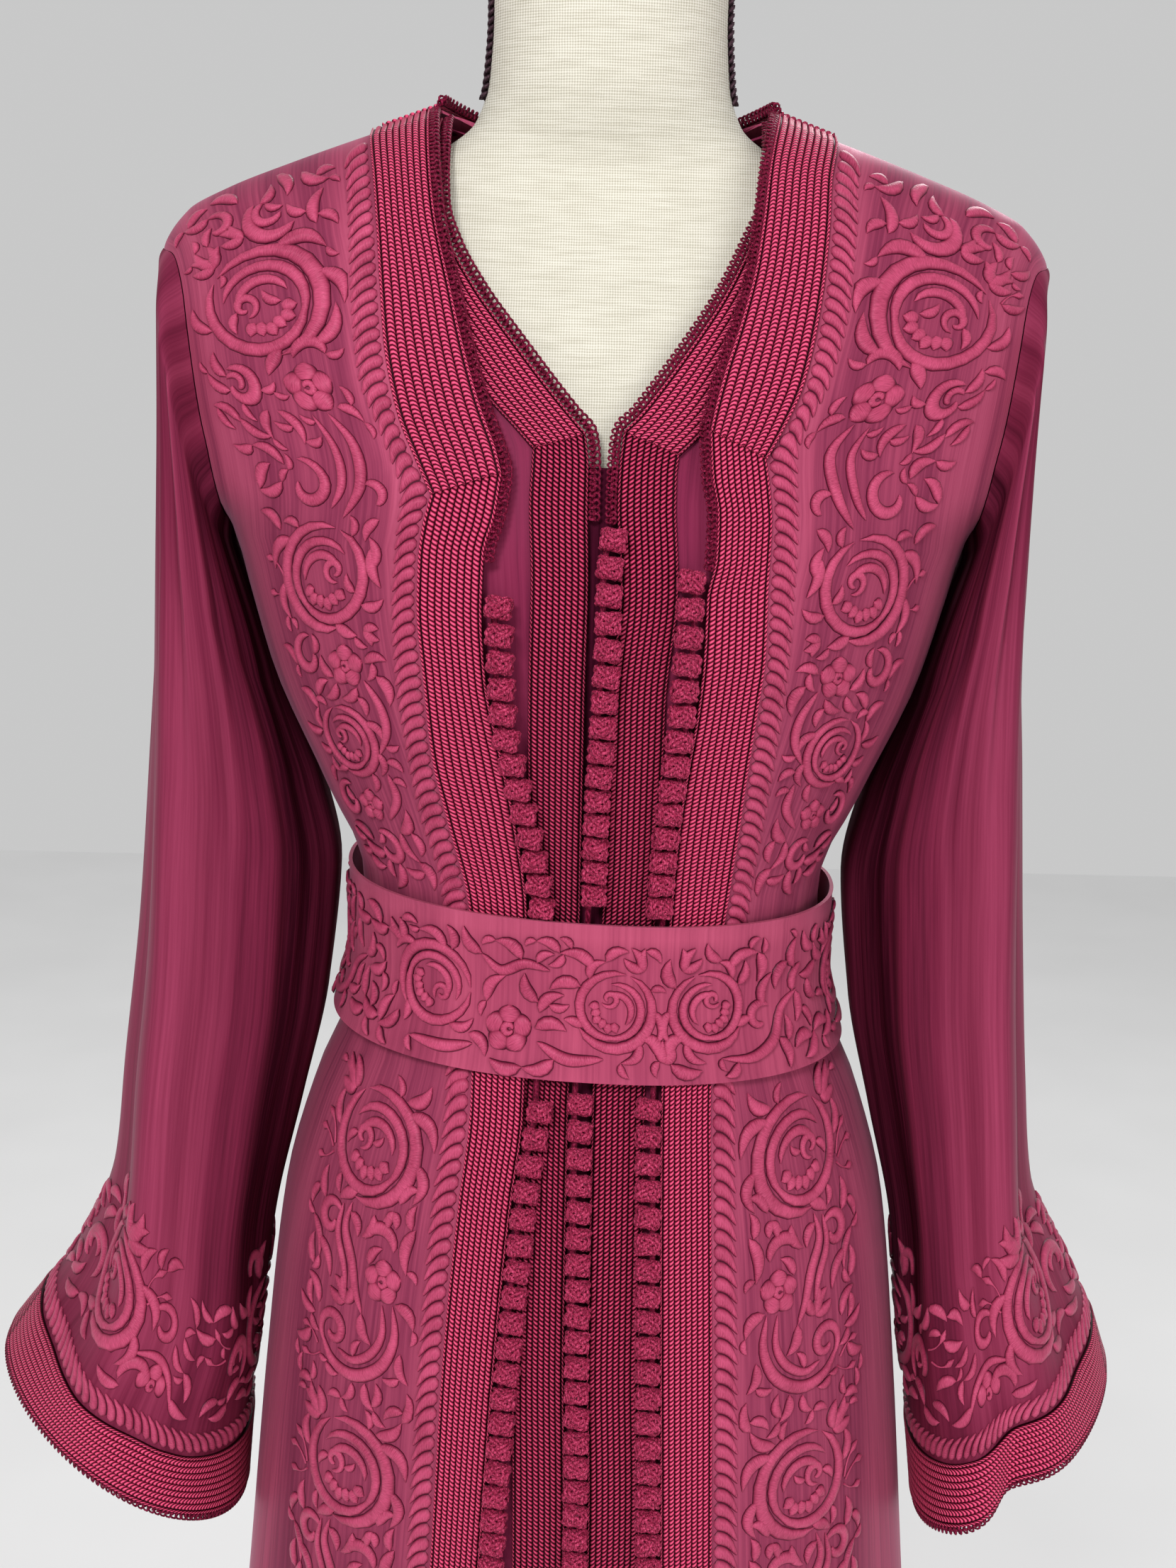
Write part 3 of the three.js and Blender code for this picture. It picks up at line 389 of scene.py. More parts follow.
def close_walls(tops, lows, loop=False):
    """Closed solids from (count, rows, columns) grids of points over grids below them, joined in one mesh."""
    count, rows, columns = tops.shape[:3]
    low_columns = lows.shape[2]
    points = np.concatenate([tops.reshape(count, -1, 3), lows.reshape(count, -1, 3)], axis=1)
    groups = wall_faces(rows, columns, low_columns, loop)
    return points.reshape(-1, 3), [repeated(group, count, points.shape[1]) for group in groups]


def make_piece(name, points, faces, material, replaced=(), flat=None, soft_angle=60, shade=None):
    """One named piece from millimetre points. flat holds each point's place on the unsewn cloth, shade how
    much darker it is there."""
    if signed_volume(points, faces) < 0:
        faces = [group[:, ::-1] for group in faces]
    mesh = bpy.data.meshes.new(name)
    sizes = np.concatenate([np.full(len(group), group.shape[1]) for group in faces])
    corners = np.concatenate([group.ravel() for group in faces]).astype(np.int32)
    mesh.vertices.add(len(points))
    mesh.vertices.foreach_set("co", (points * MM + AXIS).astype(np.float32).ravel())
    mesh.loops.add(len(corners))
    mesh.loops.foreach_set("vertex_index", corners)
    mesh.polygons.add(len(sizes))
    mesh.polygons.foreach_set("loop_start", np.concatenate([[0], np.cumsum(sizes)[:-1]]).astype(np.int32))
    mesh.update(calc_edges=True)
    mesh.validate()
    if flat is not None:
        layer = mesh.uv_layers.new(name="cloth")
        layer.data.foreach_set("uv", np.asarray(flat, np.float32)[corners].ravel())
    if shade is not None:
        layer = mesh.attributes.new("shade", "FLOAT", "POINT")
        layer.data.foreach_set("value", np.asarray(shade, np.float32))
    piece = bpy.data.objects.new(name, mesh)
    bpy.context.scene.collection.objects.link(piece)
    mesh.materials.append(material)
    bpy.ops.object.select_all(action="DESELECT")
    piece.select_set(True)
    bpy.context.view_layer.objects.active = piece
    bpy.ops.object.shade_smooth_by_angle(angle=math.radians(soft_angle))
    piece.select_set(False)
    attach(piece, "root")
    if replaced:
        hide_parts(*replaced)
    return piece


def unit(vectors):
    return vectors / np.maximum(1e-9, np.linalg.norm(vectors, axis=-1, keepdims=True))


def square_to(vectors, axis):
    """Unit vectors with what goes along an axis taken out."""
    return unit(vectors - axis * np.sum(vectors * axis, axis=-1, keepdims=True))


def run_lengths(points, axis=0):
    """Lengths gone along one axis of a grid of points."""
    steps = np.linalg.norm(np.diff(points, axis=axis), axis=-1)
    zero = np.zeros_like(np.take(steps, [0], axis=axis))
    return np.concatenate([zero, np.cumsum(steps, axis=axis)], axis=axis)


def at_lengths(lengths, gone, line):
    """Points of a line at lengths along it."""
    return np.stack([np.interp(lengths, gone, line[:, k]) for k in range(3)], axis=-1)


def oval(angle, half, front, back):
    """The x and y of a worn section at an angle in degrees from the centre front to the viewer's right."""
    s, c = np.sin(np.radians(angle)), np.cos(np.radians(angle))
    power = 2 / SQUARENESS
    depth = np.where(c > 0, front, back)
    return half * np.sign(s) * np.abs(s) ** power, -depth * np.sign(c) * np.abs(c) ** power


def grid_normals(points, loop=False):
    """Normals of a grid of points, by the way its rows cross its columns."""
    if loop:
        across = np.roll(points, -1, axis=0) - np.roll(points, 1, axis=0)
    else:
        across = np.gradient(points, axis=0)
    return unit(np.cross(across, np.gradient(points, axis=1)))


def facing_in(grid, middle, loop=False):
    """Normals of a grid of points, turned towards the middle of what it is wrapped round."""
    normals = grid_normals(grid, loop)
    return normals if np.sum(normals * (middle - grid)) > 0 else -normals


def pole_of(grid):
    return grid * np.array([0, 0, 1.0])


# Materials
def build_material(name, colour, roughness, sheen=0.0, sheen_tint=(1, 1, 1), specular=0.5):
    material = bpy.data.materials.new(name)
    material.use_nodes = True
    shader = material.node_tree.nodes["Principled BSDF"]
    shader.inputs["Base Color"].default_value = (*colour, 1)
    shader.inputs["Roughness"].default_value = roughness
    shader.inputs["Sheen Weight"].default_value = sheen
    shader.inputs["Sheen Roughness"].default_value = 0.4
    shader.inputs["Sheen Tint"].default_value = (*sheen_tint, 1)
    shader.inputs["Specular IOR Level"].default_value = specular
    if sheen:
        shader.inputs["Specular Tint"].default_value = (*sheen_tint, 1)
    return material, material.node_tree, shader


def add_node(tree, kind, **values):
    node = tree.nodes.new(kind)
    for key, value in values.items():
        setattr(node, key, value)
    return node


def coordinates(tree, place, scale):
    """A pattern's coordinates, from the piece's own place or its cloth map."""
    if place == "cloth":
        source = add_node(tree, "ShaderNodeUVMap", uv_map="cloth").outputs["UV"]
    else:
        source = add_node(tree, "ShaderNodeTexCoord").outputs["Object"]
    mapping = add_node(tree, "ShaderNodeMapping")
    mapping.inputs["Scale"].default_value = scale
    tree.links.new(source, mapping.inputs["Vector"])
    return mapping.outputs["Vector"]


def noise(tree, vector, detail=2.0, roughness=0.5):
    node = add_node(tree, "ShaderNodeTexNoise")
    node.inputs["Scale"].default_value = 1.0
    node.inputs["Detail"].default_value = detail
    node.inputs["Roughness"].default_value = roughness
    tree.links.new(vector, node.inputs["Vector"])
    return node.outputs["Fac"]


def ramp(tree, value, stops):
    node = add_node(tree, "ShaderNodeValToRGB")
    while len(node.color_ramp.elements) < len(stops):
        node.color_ramp.elements.new(0.5)
    for element, (place, colour) in zip(node.color_ramp.elements, stops):
        element.position = place
        element.color = (*colour, 1)
    tree.links.new(value, node.inputs["Fac"])
    return node.outputs["Color"]


def maths(tree, operation, first, second=None):
    node = add_node(tree, "ShaderNodeMath", operation=operation)
    for socket, value in zip(node.inputs, (first, second)):
        if isinstance(value, (int, float)):
            socket.default_value = value
        elif value is not None:
            tree.links.new(value, socket)
    return node.outputs["Value"]


def mixture(tree, first, part, second):
    """Two patterns added up, the first with its part and the second with the rest."""
    return maths(tree, "ADD", maths(tree, "MULTIPLY", first, part), maths(tree, "MULTIPLY", second, 1 - part))


def cloth_axes(tree):
    """The ways across and along a piece's cloth map."""
    split = add_node(tree, "ShaderNodeSeparateXYZ")
    tree.links.new(add_node(tree, "ShaderNodeUVMap", uv_map="cloth").outputs["UV"], split.inputs["Vector"])
    return split.outputs["X"], split.outputs["Y"]


def shade_mark(tree):
    return add_node(tree, "ShaderNodeAttribute", attribute_name="shade").outputs["Fac"]


def paint(tree, shader, value, stops):
    tree.links.new(ramp(tree, value, stops), shader.inputs["Base Color"])


def add_bump(tree, shader, height, distance, strength=1.0):
    node = add_node(tree, "ShaderNodeBump")
    node.inputs["Distance"].default_value = distance
    node.inputs["Strength"].default_value = strength
    tree.links.new(height, node.inputs["Height"])
    tree.links.new(node.outputs["Normal"], shader.inputs["Normal"])


def satin(name, dark, middle, light, band_scale=38, sheen=0.2, specular=0.1, gloss=0.15):
    """Changeable satin with slubs along its length. Painted shade darkens its colour where its piece is
    marked as shaded.
    """
    material, tree, shader = build_material(name, middle, 0.42, sheen, (0.85, 0.42, 0.6), specular)
    slubs = noise(tree, coordinates(tree, "cloth", (520, 9, 1)), 3.0, 0.6)
    bands = noise(tree, coordinates(tree, "cloth", (band_scale, 1.6, 1)), 2.0, 0.5)
    mixed = mixture(tree, slubs, 0.45, bands)
    shade = shade_mark(tree)
    lit = maths(tree, "SUBTRACT", 1.0, shade)
    for socket, value in (("Metallic", gloss), ("Specular IOR Level", specular), ("Sheen Weight", sheen)):
        tree.links.new(maths(tree, "MULTIPLY", lit, value), shader.inputs[socket])
    # painted shade: the shade attribute pulls the colour down towards a much darker shade colour
    mixed = maths(tree, "SUBTRACT", mixed, maths(tree, "MULTIPLY", shade, 0.42))
    painted_shade_colour = tuple(0.22 * part for part in dark)
    paint(tree, shader, mixed, [(0.02, painted_shade_colour), (0.32, dark), (0.5, middle), (0.7, light)])
    rough = maths(tree, "ADD", maths(tree, "MULTIPLY", slubs, 0.2), maths(tree, "MULTIPLY", shade, 0.5))
    tree.links.new(maths(tree, "ADD", rough, 0.34), shader.inputs["Roughness"])
    add_bump(tree, shader, slubs, 0.00025, 0.5)
    return material


def plait(name, dark, middle, light):
    """Silk braid with a row of short slanted stitches up each rib. Its colour follows the stitches' height:
    painted shade in the grooves, a painted highlight on the stitch tops, and more painted shade where its
    piece is marked as shaded.
    """
    material, tree, shader = build_material(name, middle, 0.38, 0.02, (0.9, 0.45, 0.6), 0.1)
    across, along = cloth_axes(tree)
    place = maths(tree, "FRACT", maths(tree, "ADD", across, 10.0))
    turn = maths(tree, "ADD", maths(tree, "MULTIPLY", along, 2 * math.pi / STITCH_LENGTH),
                 maths(tree, "MULTIPLY", place, STITCH_SLANT))
    stitch = maths(tree, "MULTIPLY", maths(tree, "ADD", maths(tree, "SINE", turn), 1.0), 0.5)
    beside = maths(tree, "MULTIPLY", maths(tree, "ABSOLUTE", maths(tree, "SUBTRACT", place, 0.5)), 2.0)
    ridge = maths(tree, "SUBTRACT", 1.0, maths(tree, "POWER", beside, 5.0))
    height = maths(tree, "MULTIPLY", maths(tree, "POWER", stitch, 0.5), ridge)
    lit = maths(tree, "SUBTRACT", height, maths(tree, "MULTIPLY", shade_mark(tree), 0.4))
    # painted light: colour by stitch height, a near black shade in the grooves and a bright pink highlight on
    # the tops
    paint(tree, shader, lit, [(0.06, dark), (0.55, middle), (0.95, light)])
    add_bump(tree, shader, height, 0.0007, 1.0)
    return material


def stitched(name, edge, dark, middle, light):
    """Raised satin stitch, with fine threads across each stroke and a painted shadow line where it meets the
    cloth.
    """
    material, tree, shader = build_material(name, middle, 0.36, 0.06, (0.95, 0.55, 0.7), 0.22)
    threads = noise(tree, coordinates(tree, "cloth", (1.2, 2400, 1)), 2.0, 0.6)
    clouds = noise(tree, coordinates(tree, "object", (70, 70, 70)), 2.0)
    mixed = mixture(tree, threads, 0.6, clouds)
    # painted shadow: the colour falls to the edge colour at each stroke's sides
    rim = maths(tree, "POWER", maths(tree, "ABSOLUTE", cloth_axes(tree)[0]), 4.5)
    place = maths(tree, "MULTIPLY", maths(tree, "SUBTRACT", 1.0, rim), mixed)
    paint(tree, shader, place, [(0.08, edge), (0.32, dark), (0.5, middle), (0.68, light)])
    add_bump(tree, shader, threads, 0.0003, 0.7)
    return material


def corded(name, dark, middle, light, specular=0.5):
    """Twisted silk or gimp cord."""
    material, tree, shader = build_material(name, middle, 0.42, 0.06, (0.9, 0.45, 0.6), specular)
    fibres = noise(tree, coordinates(tree, "object", (1500, 1500, 700)), 2.0, 0.6)
    paint(tree, shader, fibres, [(0.3, dark), (0.5, middle), (0.7, light)])
    add_bump(tree, shader, fibres, 0.0004, 0.9)
    return material


def woven_linen(name):
    material, tree, shader = build_material(name, (0.8, 0.77, 0.68), 0.85, 0.1, (1, 1, 1), 0.25)
    threads = []
    for axis in ("X", "Z"):
        wave = add_node(tree, "ShaderNodeTexWave", bands_direction=axis)
        wave.inputs["Scale"].default_value = 1.0
        wave.inputs["Distortion"].default_value = 1.4
        wave.inputs["Detail Scale"].default_value = 0.6
        tree.links.new(coordinates(tree, "object", (260, 260, 260)), wave.inputs["Vector"])
        threads.append(wave.outputs["Fac"])
    weave = maths(tree, "MULTIPLY", maths(tree, "ADD", threads[0], threads[1]), 0.5)
    slub = noise(tree, coordinates(tree, "object", (60, 60, 520)), 3.0)
    mixed = mixture(tree, weave, 0.6, slub)
    dark, middle, light = (0.42, 0.39, 0.31), (0.6, 0.57, 0.48), (0.72, 0.69, 0.61)
    paint(tree, shader, mixed, [(0.25, dark), (0.5, middle), (0.75, light)])
    add_bump(tree, shader, mixed, 0.0004, 0.7)
    return material


def grained_wood(name):
    material, tree, shader = build_material(name, (0.25, 0.14, 0.07), 0.4)
    grain = noise(tree, coordinates(tree, "object", (18, 18, 140)), 4.0, 0.6)
    paint(tree, shader, grain, [(0.3, (0.13, 0.065, 0.03)), (0.7, (0.32, 0.19, 0.1))])
    add_bump(tree, shader, grain, 0.0002, 0.4)
    return material


def painted_steel(name):
    material, tree, shader = build_material(name, (0.02, 0.02, 0.022), 0.45)
    speckle = noise(tree, coordinates(tree, "object", (300, 300, 300)))
    paint(tree, shader, speckle, [(0.3, (0.012, 0.012, 0.014)), (0.7, (0.035, 0.035, 0.037))])
    rough = maths(tree, "ADD", maths(tree, "MULTIPLY", speckle, 0.25), 0.35)
    tree.links.new(rough, shader.inputs["Roughness"])
    return material


OUTER_SATIN = satin("outer_satin", (0.19, 0.026, 0.064), (0.33, 0.052, 0.108), (0.43, 0.08, 0.15))
# A darker copy of the outer satin: painted shade on the sleeves
SHADED_SLEEVE_SATIN = satin("shaded_sleeve_satin", (0.15, 0.015, 0.042), (0.22, 0.027, 0.066), (0.3, 0.042, 0.096),
                     band_scale=60, sheen=0.03, gloss=0.1)
INNER_SATIN = satin("inner_satin", (0.11, 0.01, 0.034), (0.19, 0.018, 0.056), (0.24, 0.028, 0.075),
                    sheen=0.02, specular=0.08, gloss=0.05)
BELT_SATIN = satin("belt_satin", (0.28, 0.04, 0.088), (0.4, 0.064, 0.128), (0.5, 0.09, 0.17))
# the braid's first colour is painted shade for its grooves and its last a painted highlight for its stitch
# tops
BRAID = plait("silk_braid", (0.01, 0.0004, 0.002), (0.31, 0.016, 0.058), (0.85, 0.1, 0.22))
# the satin stitch's first colour is the painted shadow along the strokes' edges
STITCHED = stitched("satin_stitch", (0.04, 0.002, 0.01), (0.25, 0.024, 0.064), (0.4, 0.05, 0.115),
                    (0.55, 0.075, 0.17))
CORD = corded("knot_cord", (0.03, 0.001, 0.006), (0.28, 0.013, 0.052), (0.62, 0.07, 0.17), 0.3)
EDGING = corded("crochet_silk", (0.03, 0.001, 0.006), (0.13, 0.004, 0.022), (0.3, 0.02, 0.07), 0.12)
GIMP = corded("black_gimp", (0.004, 0.003, 0.004), (0.02, 0.012, 0.016), (0.07, 0.045, 0.055))
LINEN = woven_linen("linen")

STAND_MATERIALS = {
    "neck_cap": grained_wood("wood"),
    "stand_pole": painted_steel("pole_steel"),
    "stand_base": painted_steel("base_steel"),
}
for node, material in STAND_MATERIALS.items():
    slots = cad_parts[node].data.materials
    slots.clear()
    slots.append(material)


# Panels
def sew_cloth(name, grid, inward, thickness, material, replaced, loop=False, shade=None):
    """A hung sheet of cloth from its outer face's grid of points, whose first axis goes down or round it."""
    points, faces = close_walls(grid[None], (grid + inward * thickness)[None], loop)
    down, across = (1, 0) if loop else (0, 1)
    u = run_lengths(grid, across) * MM
    v = run_lengths(grid, down) * MM
    u_flat, v_flat = u.mean(axis=down), v.mean(axis=across)
    if loop:
        count = len(u_flat)
        u_flat = np.where(np.arange(count) > count // 2, u_flat - u_flat[-1] * count / (count - 1), u_flat)
    order = "ij" if loop else "xy"
    flat = np.stack(np.meshgrid(u_flat, v_flat, indexing=order), axis=-1).reshape(-1, 2)
    shade = None if shade is None else np.tile(shade.ravel(), 2)
    flat = np.concatenate([flat, flat])
    piece = make_piece(name, points, faces, material, replaced, flat, shade=shade)
    return piece


def panel_levels(top_rows, low_rows):
    """Heights of a panel's rows, close together where the shoulder rolls over."""
    top = NECK_Z - (NECK_Z - UNDERARM_Z) * np.linspace(0, 1, top_rows) ** 1.5
    return np.concatenate([top, np.linspace(UNDERARM_Z, HEM_Z, low_rows)[1:]])


def side_creases(x, level):
    """Soft creases that the belt and the underarm pull into the cloth, away from its embroidery."""
    reach = np.abs(x)
    total = np.zeros(np.broadcast(reach, level).shape)
    for c in SIDE_CREASES:
        fade = smoothstep(level, *sorted((c["far"], c["near"])))
        if c["far"] < c["near"]:
            opening = smoothstep(level, BELT["bottom"] - 16, BELT["bottom"])
            fade = fade * opening * (level < BELT["bottom"] + 10)
        else:
            softer = 1 - 0.2 * smoothstep(level, BELT["top"], BELT["top"] + 14)
            fade = (1 - fade) * softer * (level > BELT["top"] - 12)
        total += fade * c["depth"] * hump(reach, c["place"], SIDE_CREASE_WIDTH)
    return -total


FOLD_SHADE, SIDE_SHADE, STITCHED_SHADE = 0.5, 0.6, 0.26
STITCHED_STRIP = 58, 76


def fold_shade(grid, stitched_from=None):
    """Darker between the skirt's folds, where the sleeves hang close, and in the embroidered strip."""
    x, y, z = (grid[..., k] for k in range(3))
    depth = np.where(y < 0, front_depth(z), back_depth(z))
    turn = np.degrees(np.arctan2(np.abs(x) / half_width(z), -y / depth))
    turn = np.where(x < 0, 360 - turn, turn)
    swell = sum(hump(turn, f["angle"], f["width"]) for f in SKIRT_FOLDS)
    between = smoothstep(turn, 40, 75) * smoothstep(360 - turn, 30, 60) * np.clip(1 - swell, 0, 1)
    beside = smoothstep(np.abs(turn - 180), 60, 78) * (1 - smoothstep(np.abs(turn - 180), 98, 112))
    under = smoothstep(z, 1040, 1180) * (1 - smoothstep(z, UNDERARM_Z, UNDERARM_Z + 60))
    shade = FOLD_SHADE * skirt_growth(z) ** 0.6 * between + SIDE_SHADE * beside * under
    if stitched_from:
        out = np.abs(x) - stitched_from(z)
        strip = smoothstep(out, 0, 6) * (1 - smoothstep(out, *STITCHED_STRIP))
        shade = shade + STITCHED_SHADE * strip * (1 - smoothstep(z, NECK_Z - 32, NECK_Z - 7))
    return shade


def front_grid(sign, edge, levels, columns, offset, skirt, creases=None):
    start = edge(levels)[:, None]
    share = np.sin(np.radians(90 * np.linspace(0, 1, columns)))[None, :]
    x = start + (seam_end(levels)[:, None] - start) * share
    if creases is not None:
        offset = offset + creases(x, levels[:, None])
    return worn(sign * x, levels[:, None], -1, offset, skirt)


SIDES = {"left": -1, "right": 1}
levels = panel_levels(46, 100)
inner_levels = panel_levels(24, 50)
for side, sign in SIDES.items():
    edge = Curve(OUTER_BRAID[sign], "z_in", "x_in", straight=True)
    grid = front_grid(sign, lambda z: edge(z) + 1.0, levels, 56, 0.0, outer_skirt, side_creases)
    sew_cloth("outer_front_cloth_" + side, grid, facing_in(grid, pole_of(grid)), CLOTH, OUTER_SATIN,
              ["outer_front_" + side],
              shade=fold_shade(grid, Curve(ROPE_EDGE[sign], "z", "x")))
    edge = Curve(INNER_BRAID[sign], "z_in", "x_in", straight=True)
    grid = front_grid(sign, lambda z: edge(z) + 1.0, inner_levels, 26, -INNER_DEPTH, inner_skirt)
    sew_cloth("inner_front_cloth_" + side, grid, facing_in(grid, pole_of(grid)), INNER_CLOTH, INNER_SATIN,
              ["inner_front_" + side])

x = seam_end(levels)[:, None] * np.sin(np.radians(90 * np.linspace(-1, 1, 91)))[None, :]
grid = worn(x, levels[:, None], 1, side_creases(x, levels[:, None]), outer_skirt)
sew_cloth("outer_back_cloth", grid, facing_in(grid, pole_of(grid)), CLOTH, OUTER_SATIN,
          ["outer_back"], shade=fold_shade(grid))
x = seam_end(inner_levels)[:, None] * np.sin(np.radians(90 * np.linspace(-1, 1, 41)))[None, :]
grid = worn(x, inner_levels[:, None], 1, -INNER_DEPTH, inner_skirt)
sew_cloth("inner_back_cloth", grid, facing_in(grid, pole_of(grid)), INNER_CLOTH, INNER_SATIN,
          ["inner_back"])

# A strip of the inner satin closes the slit behind the knots
PLACKET_TOP_Z, PLACKET_HALF, PLACKET_DEPTH = 1326, 13, 2.4
z = np.linspace(PLACKET_TOP_Z, HEM_Z, 160)[:, None]
across = np.linspace(-PLACKET_HALF, PLACKET_HALF, 7)[None]
grid = worn(across, z, -1, -INNER_DEPTH - PLACKET_DEPTH, inner_skirt)
sew_cloth("placket_cloth", grid, facing_in(grid, pole_of(grid)), INNER_CLOTH, INNER_SATIN,
          [], shade=np.full(grid.shape[:2], 0.8))


# Braids
def braid_profile():
    """Places across a braid, how high it stands there, and its map: an edge cord, ribs, and an edge cord."""
    rows = [(0, 0, -1), (0.35, 0.9, -0.75), (0.7, 1.15, -0.5), (1.05, 0.9, -0.25), (1.45, 0.15, 0)]
    for rib in range(BRAID_RIBS):
        start = EDGE_CORD + RIB_PITCH * rib
        rows += [(start, 0, rib), (start + 0.6, 0.8, rib + 0.2), (start + 1.58, 1.1, rib + 0.5),
                 (start + 2.55, 0.8, rib + 0.8)]
    end = EDGE_CORD + RIB_PITCH * BRAID_RIBS
    rows += [(end, 0.1, BRAID_RIBS), (end + 0.35, 0.15, BRAID_RIBS), (end + 0.75, 0.9, BRAID_RIBS + 0.25),
             (end + 1.1, 1.15, BRAID_RIBS + 0.5), (end + 1.45, 0.9, BRAID_RIBS + 0.75),
             (end + EDGE_CORD, 0, BRAID_RIBS + 1)]
    places, rises, ribs = np.transpose(rows)
    return places / places[-1], rises, ribs


PLACES, RISES, RIB_MAP = braid_profile()
LOW_COLUMNS = [0, 14, 28, len(PLACES) - 1]
BRAID_LIFT = 1.35
MITRE_RISE = 1.3


def braid_stations(rows, close=5.0, wide=12.0):
    """Rows of an edge table filled in smoothly, close together above the waist."""
    rows = [{**row, "t": t} for t, row in enumerate(rows)]
    curves = {key: Curve(rows, "t", key) for key in ("z_in", "x_in", "z_out", "x_out")}
    t = np.linspace(0, len(rows) - 1, 60 * len(rows))
    x = (curves["x_in"](t) + curves["x_out"](t)) / 2
    z = (curves["z_in"](t) + curves["z_out"](t)) / 2
    step = np.hypot(np.diff(x), np.diff(z)) / np.where(z[1:] > 1000, close, wide)
    gone = np.concatenate([[0], np.cumsum(step)])
    t = np.interp(np.linspace(0, gone[-1], int(gone[-1]) + 2), gone, t)
    return [curves[key](t) for key in ("z_in", "x_in", "z_out", "x_out")]


def lay_braid(name, top, low, replaced, from_end=False, loop=False, shade=0.0):
    """A ribbed braid from a grid of points, whose rows cross it."""
    v = run_lengths(top, 0)
    if from_end:
        v = v - v[-1:]
    u = np.broadcast_to(RIB_MAP, v.shape)
    flat = np.stack([u, v * MM], axis=-1)
    points, faces = close_walls(top[None], low[None], loop)
    flat = np.concatenate([flat.reshape(-1, 2), flat[:, LOW_COLUMNS].reshape(-1, 2)])
    return make_piece(name, points, faces, BRAID, replaced, flat, soft_angle=75,
                      shade=np.full(len(points), shade))


def front_braid(name, sign, rows, depth, skirt, lift, replaced, from_end, shade):
    """One stretch of a braid down a front, above the mitred corner or, from_end, below it."""
    z_in, x_in, z_out, x_out = (column[:, None] for column in braid_stations(rows))
    x = sign * (x_in + (x_out - x_in) * PLACES)
    level = z_in + (z_out - z_in) * PLACES
    lift = lift + (0 if from_end else MITRE_RISE * np.linspace(0, 1, len(x))[:, None] ** 12)
    top = worn(x, level, -1, lift + RISES - depth, skirt)
    low = worn(x[:, LOW_COLUMNS], level[:, LOW_COLUMNS], -1, 0.3 - depth, skirt)
    return lay_braid(name, top, low, replaced, from_end, shade=shade)


MITRE_ROW = 7
NECK_BRAID_LIFT = BRAID_LIFT + 0.35
OUTER_BRAID_SHADE, INNER_BRAID_SHADE = 0.05, 0.45
for side, sign in SIDES.items():
    for layer, edges, depth, skirt, shade in (
        ("outer", OUTER_BRAID, 0.0, outer_skirt, OUTER_BRAID_SHADE),
        ("inner", INNER_BRAID, INNER_DEPTH, inner_skirt, INNER_BRAID_SHADE),
    ):
        node = [layer + "_braid_" + side]
        upper, lower = edges[sign][:MITRE_ROW + 1], edges[sign][MITRE_ROW:]
        front_braid(f"{layer}_neck_braid_{side}", sign, upper, depth, skirt,
                    NECK_BRAID_LIFT, node, False, 0.0)
        front_braid(f"{layer}_front_braid_{side}", sign, lower, depth, skirt,
                    BRAID_LIFT, node, True, shade)


def neck_points(share, down, rise):
    """The outer braid's way round the back neck."""
    x = share * (NECK_X + 3 + down * 26 * np.abs(share) ** 3)
    level = NECK_Z - down * BRAID_WIDTH * (1 - np.abs(share) ** 3)
    droop = np.where(np.abs(share) > 0.9999, 1.0, 0.999)
    droop = np.broadcast_to(droop, np.broadcast(x, level).shape)
    return worn(x, level, 1, 1.2 + rise, outer_skirt, droop)


share = np.sin(np.radians(90 * np.linspace(-1, 1, 61)))[:, None]
lay_braid("back_neck_braid", neck_points(share, PLACES[None], BRAID_LIFT + RISES[None]),
          neck_points(share, PLACES[None, LOW_COLUMNS], 0.2), ["outer_braid_neck"])


# Sleeves
def sleeve_fold(folds, angle, ring):
    total = 0
    for fold in folds:
        rising = smoothstep(ring, fold["start"], fold["full"])
        falling = 1 - smoothstep(ring, fold["end"] - 1, fold["end"] + 1)
        total = total + fold["depth"] * rising * falling * hump(angle, fold["angle"], fold["width"])
    return total


def armhole(sign, angle):
    """Where the sleeve's line at each angle starts on the armhole."""
    level = np.linspace(NECK_Z, UNDERARM_Z, 200)
    share = np.where(angle <= 180, angle, 360 - angle) / 180
    starts = []
    for side in (-1, 1):
        line = worn(sign * seam_end(level), level, side)
        line[[0, -1], 1] = 0
        gone = run_lengths(line)
        starts.append(at_lengths(share * gone[-1], gone, line))
    return np.where((angle <= 180)[:, None], starts[0], starts[1])


def crease(angle, ring):
    total = 0
    for c in SLEEVE_CREASES:
        rising = smoothstep(ring, c["start"], c["full"])
        falling = 1 - smoothstep(ring, c["end"] - 2, c["end"] + 0.5)
        middle = c["angle"] + c["drift"] * (ring / LAST_RING - 0.3)
        turn = (angle - middle + 180) % 360 - 180
        total = total + c["depth"] * rising * falling * hump(turn, 0, c["width"])
    return total


def sleeve_head(sign, angle, hanging):
    """The gathered head, curving from the armhole into the hanging sleeve's first ring."""
    start = armhole(sign, angle)[:, None] + np.array([sign * 0.5, 0, 0])
    first, down_way = hanging[:, :1], unit(hanging[:, 4:5] - hanging[:, :1])
    gap = np.linalg.norm(first - start, axis=-1, keepdims=True)
    outer_side = (0.5 + 0.5 * np.cos(np.radians(angle)))[:, None, None]
    leaving = start + 0.3 * (first - start) + np.array([sign * 3.5, 0, 0]) * outer_side
    arriving = first - down_way * np.minimum(0.55 * gap, 14)
    u = np.linspace(0, 1, HEAD_ROWS)[None, :-1, None]
    near_start = start * (1 - u) ** 3 + 3 * leaving * u * (1 - u) ** 2
    return near_start + 3 * arriving * u**2 * (1 - u) + first * u**3


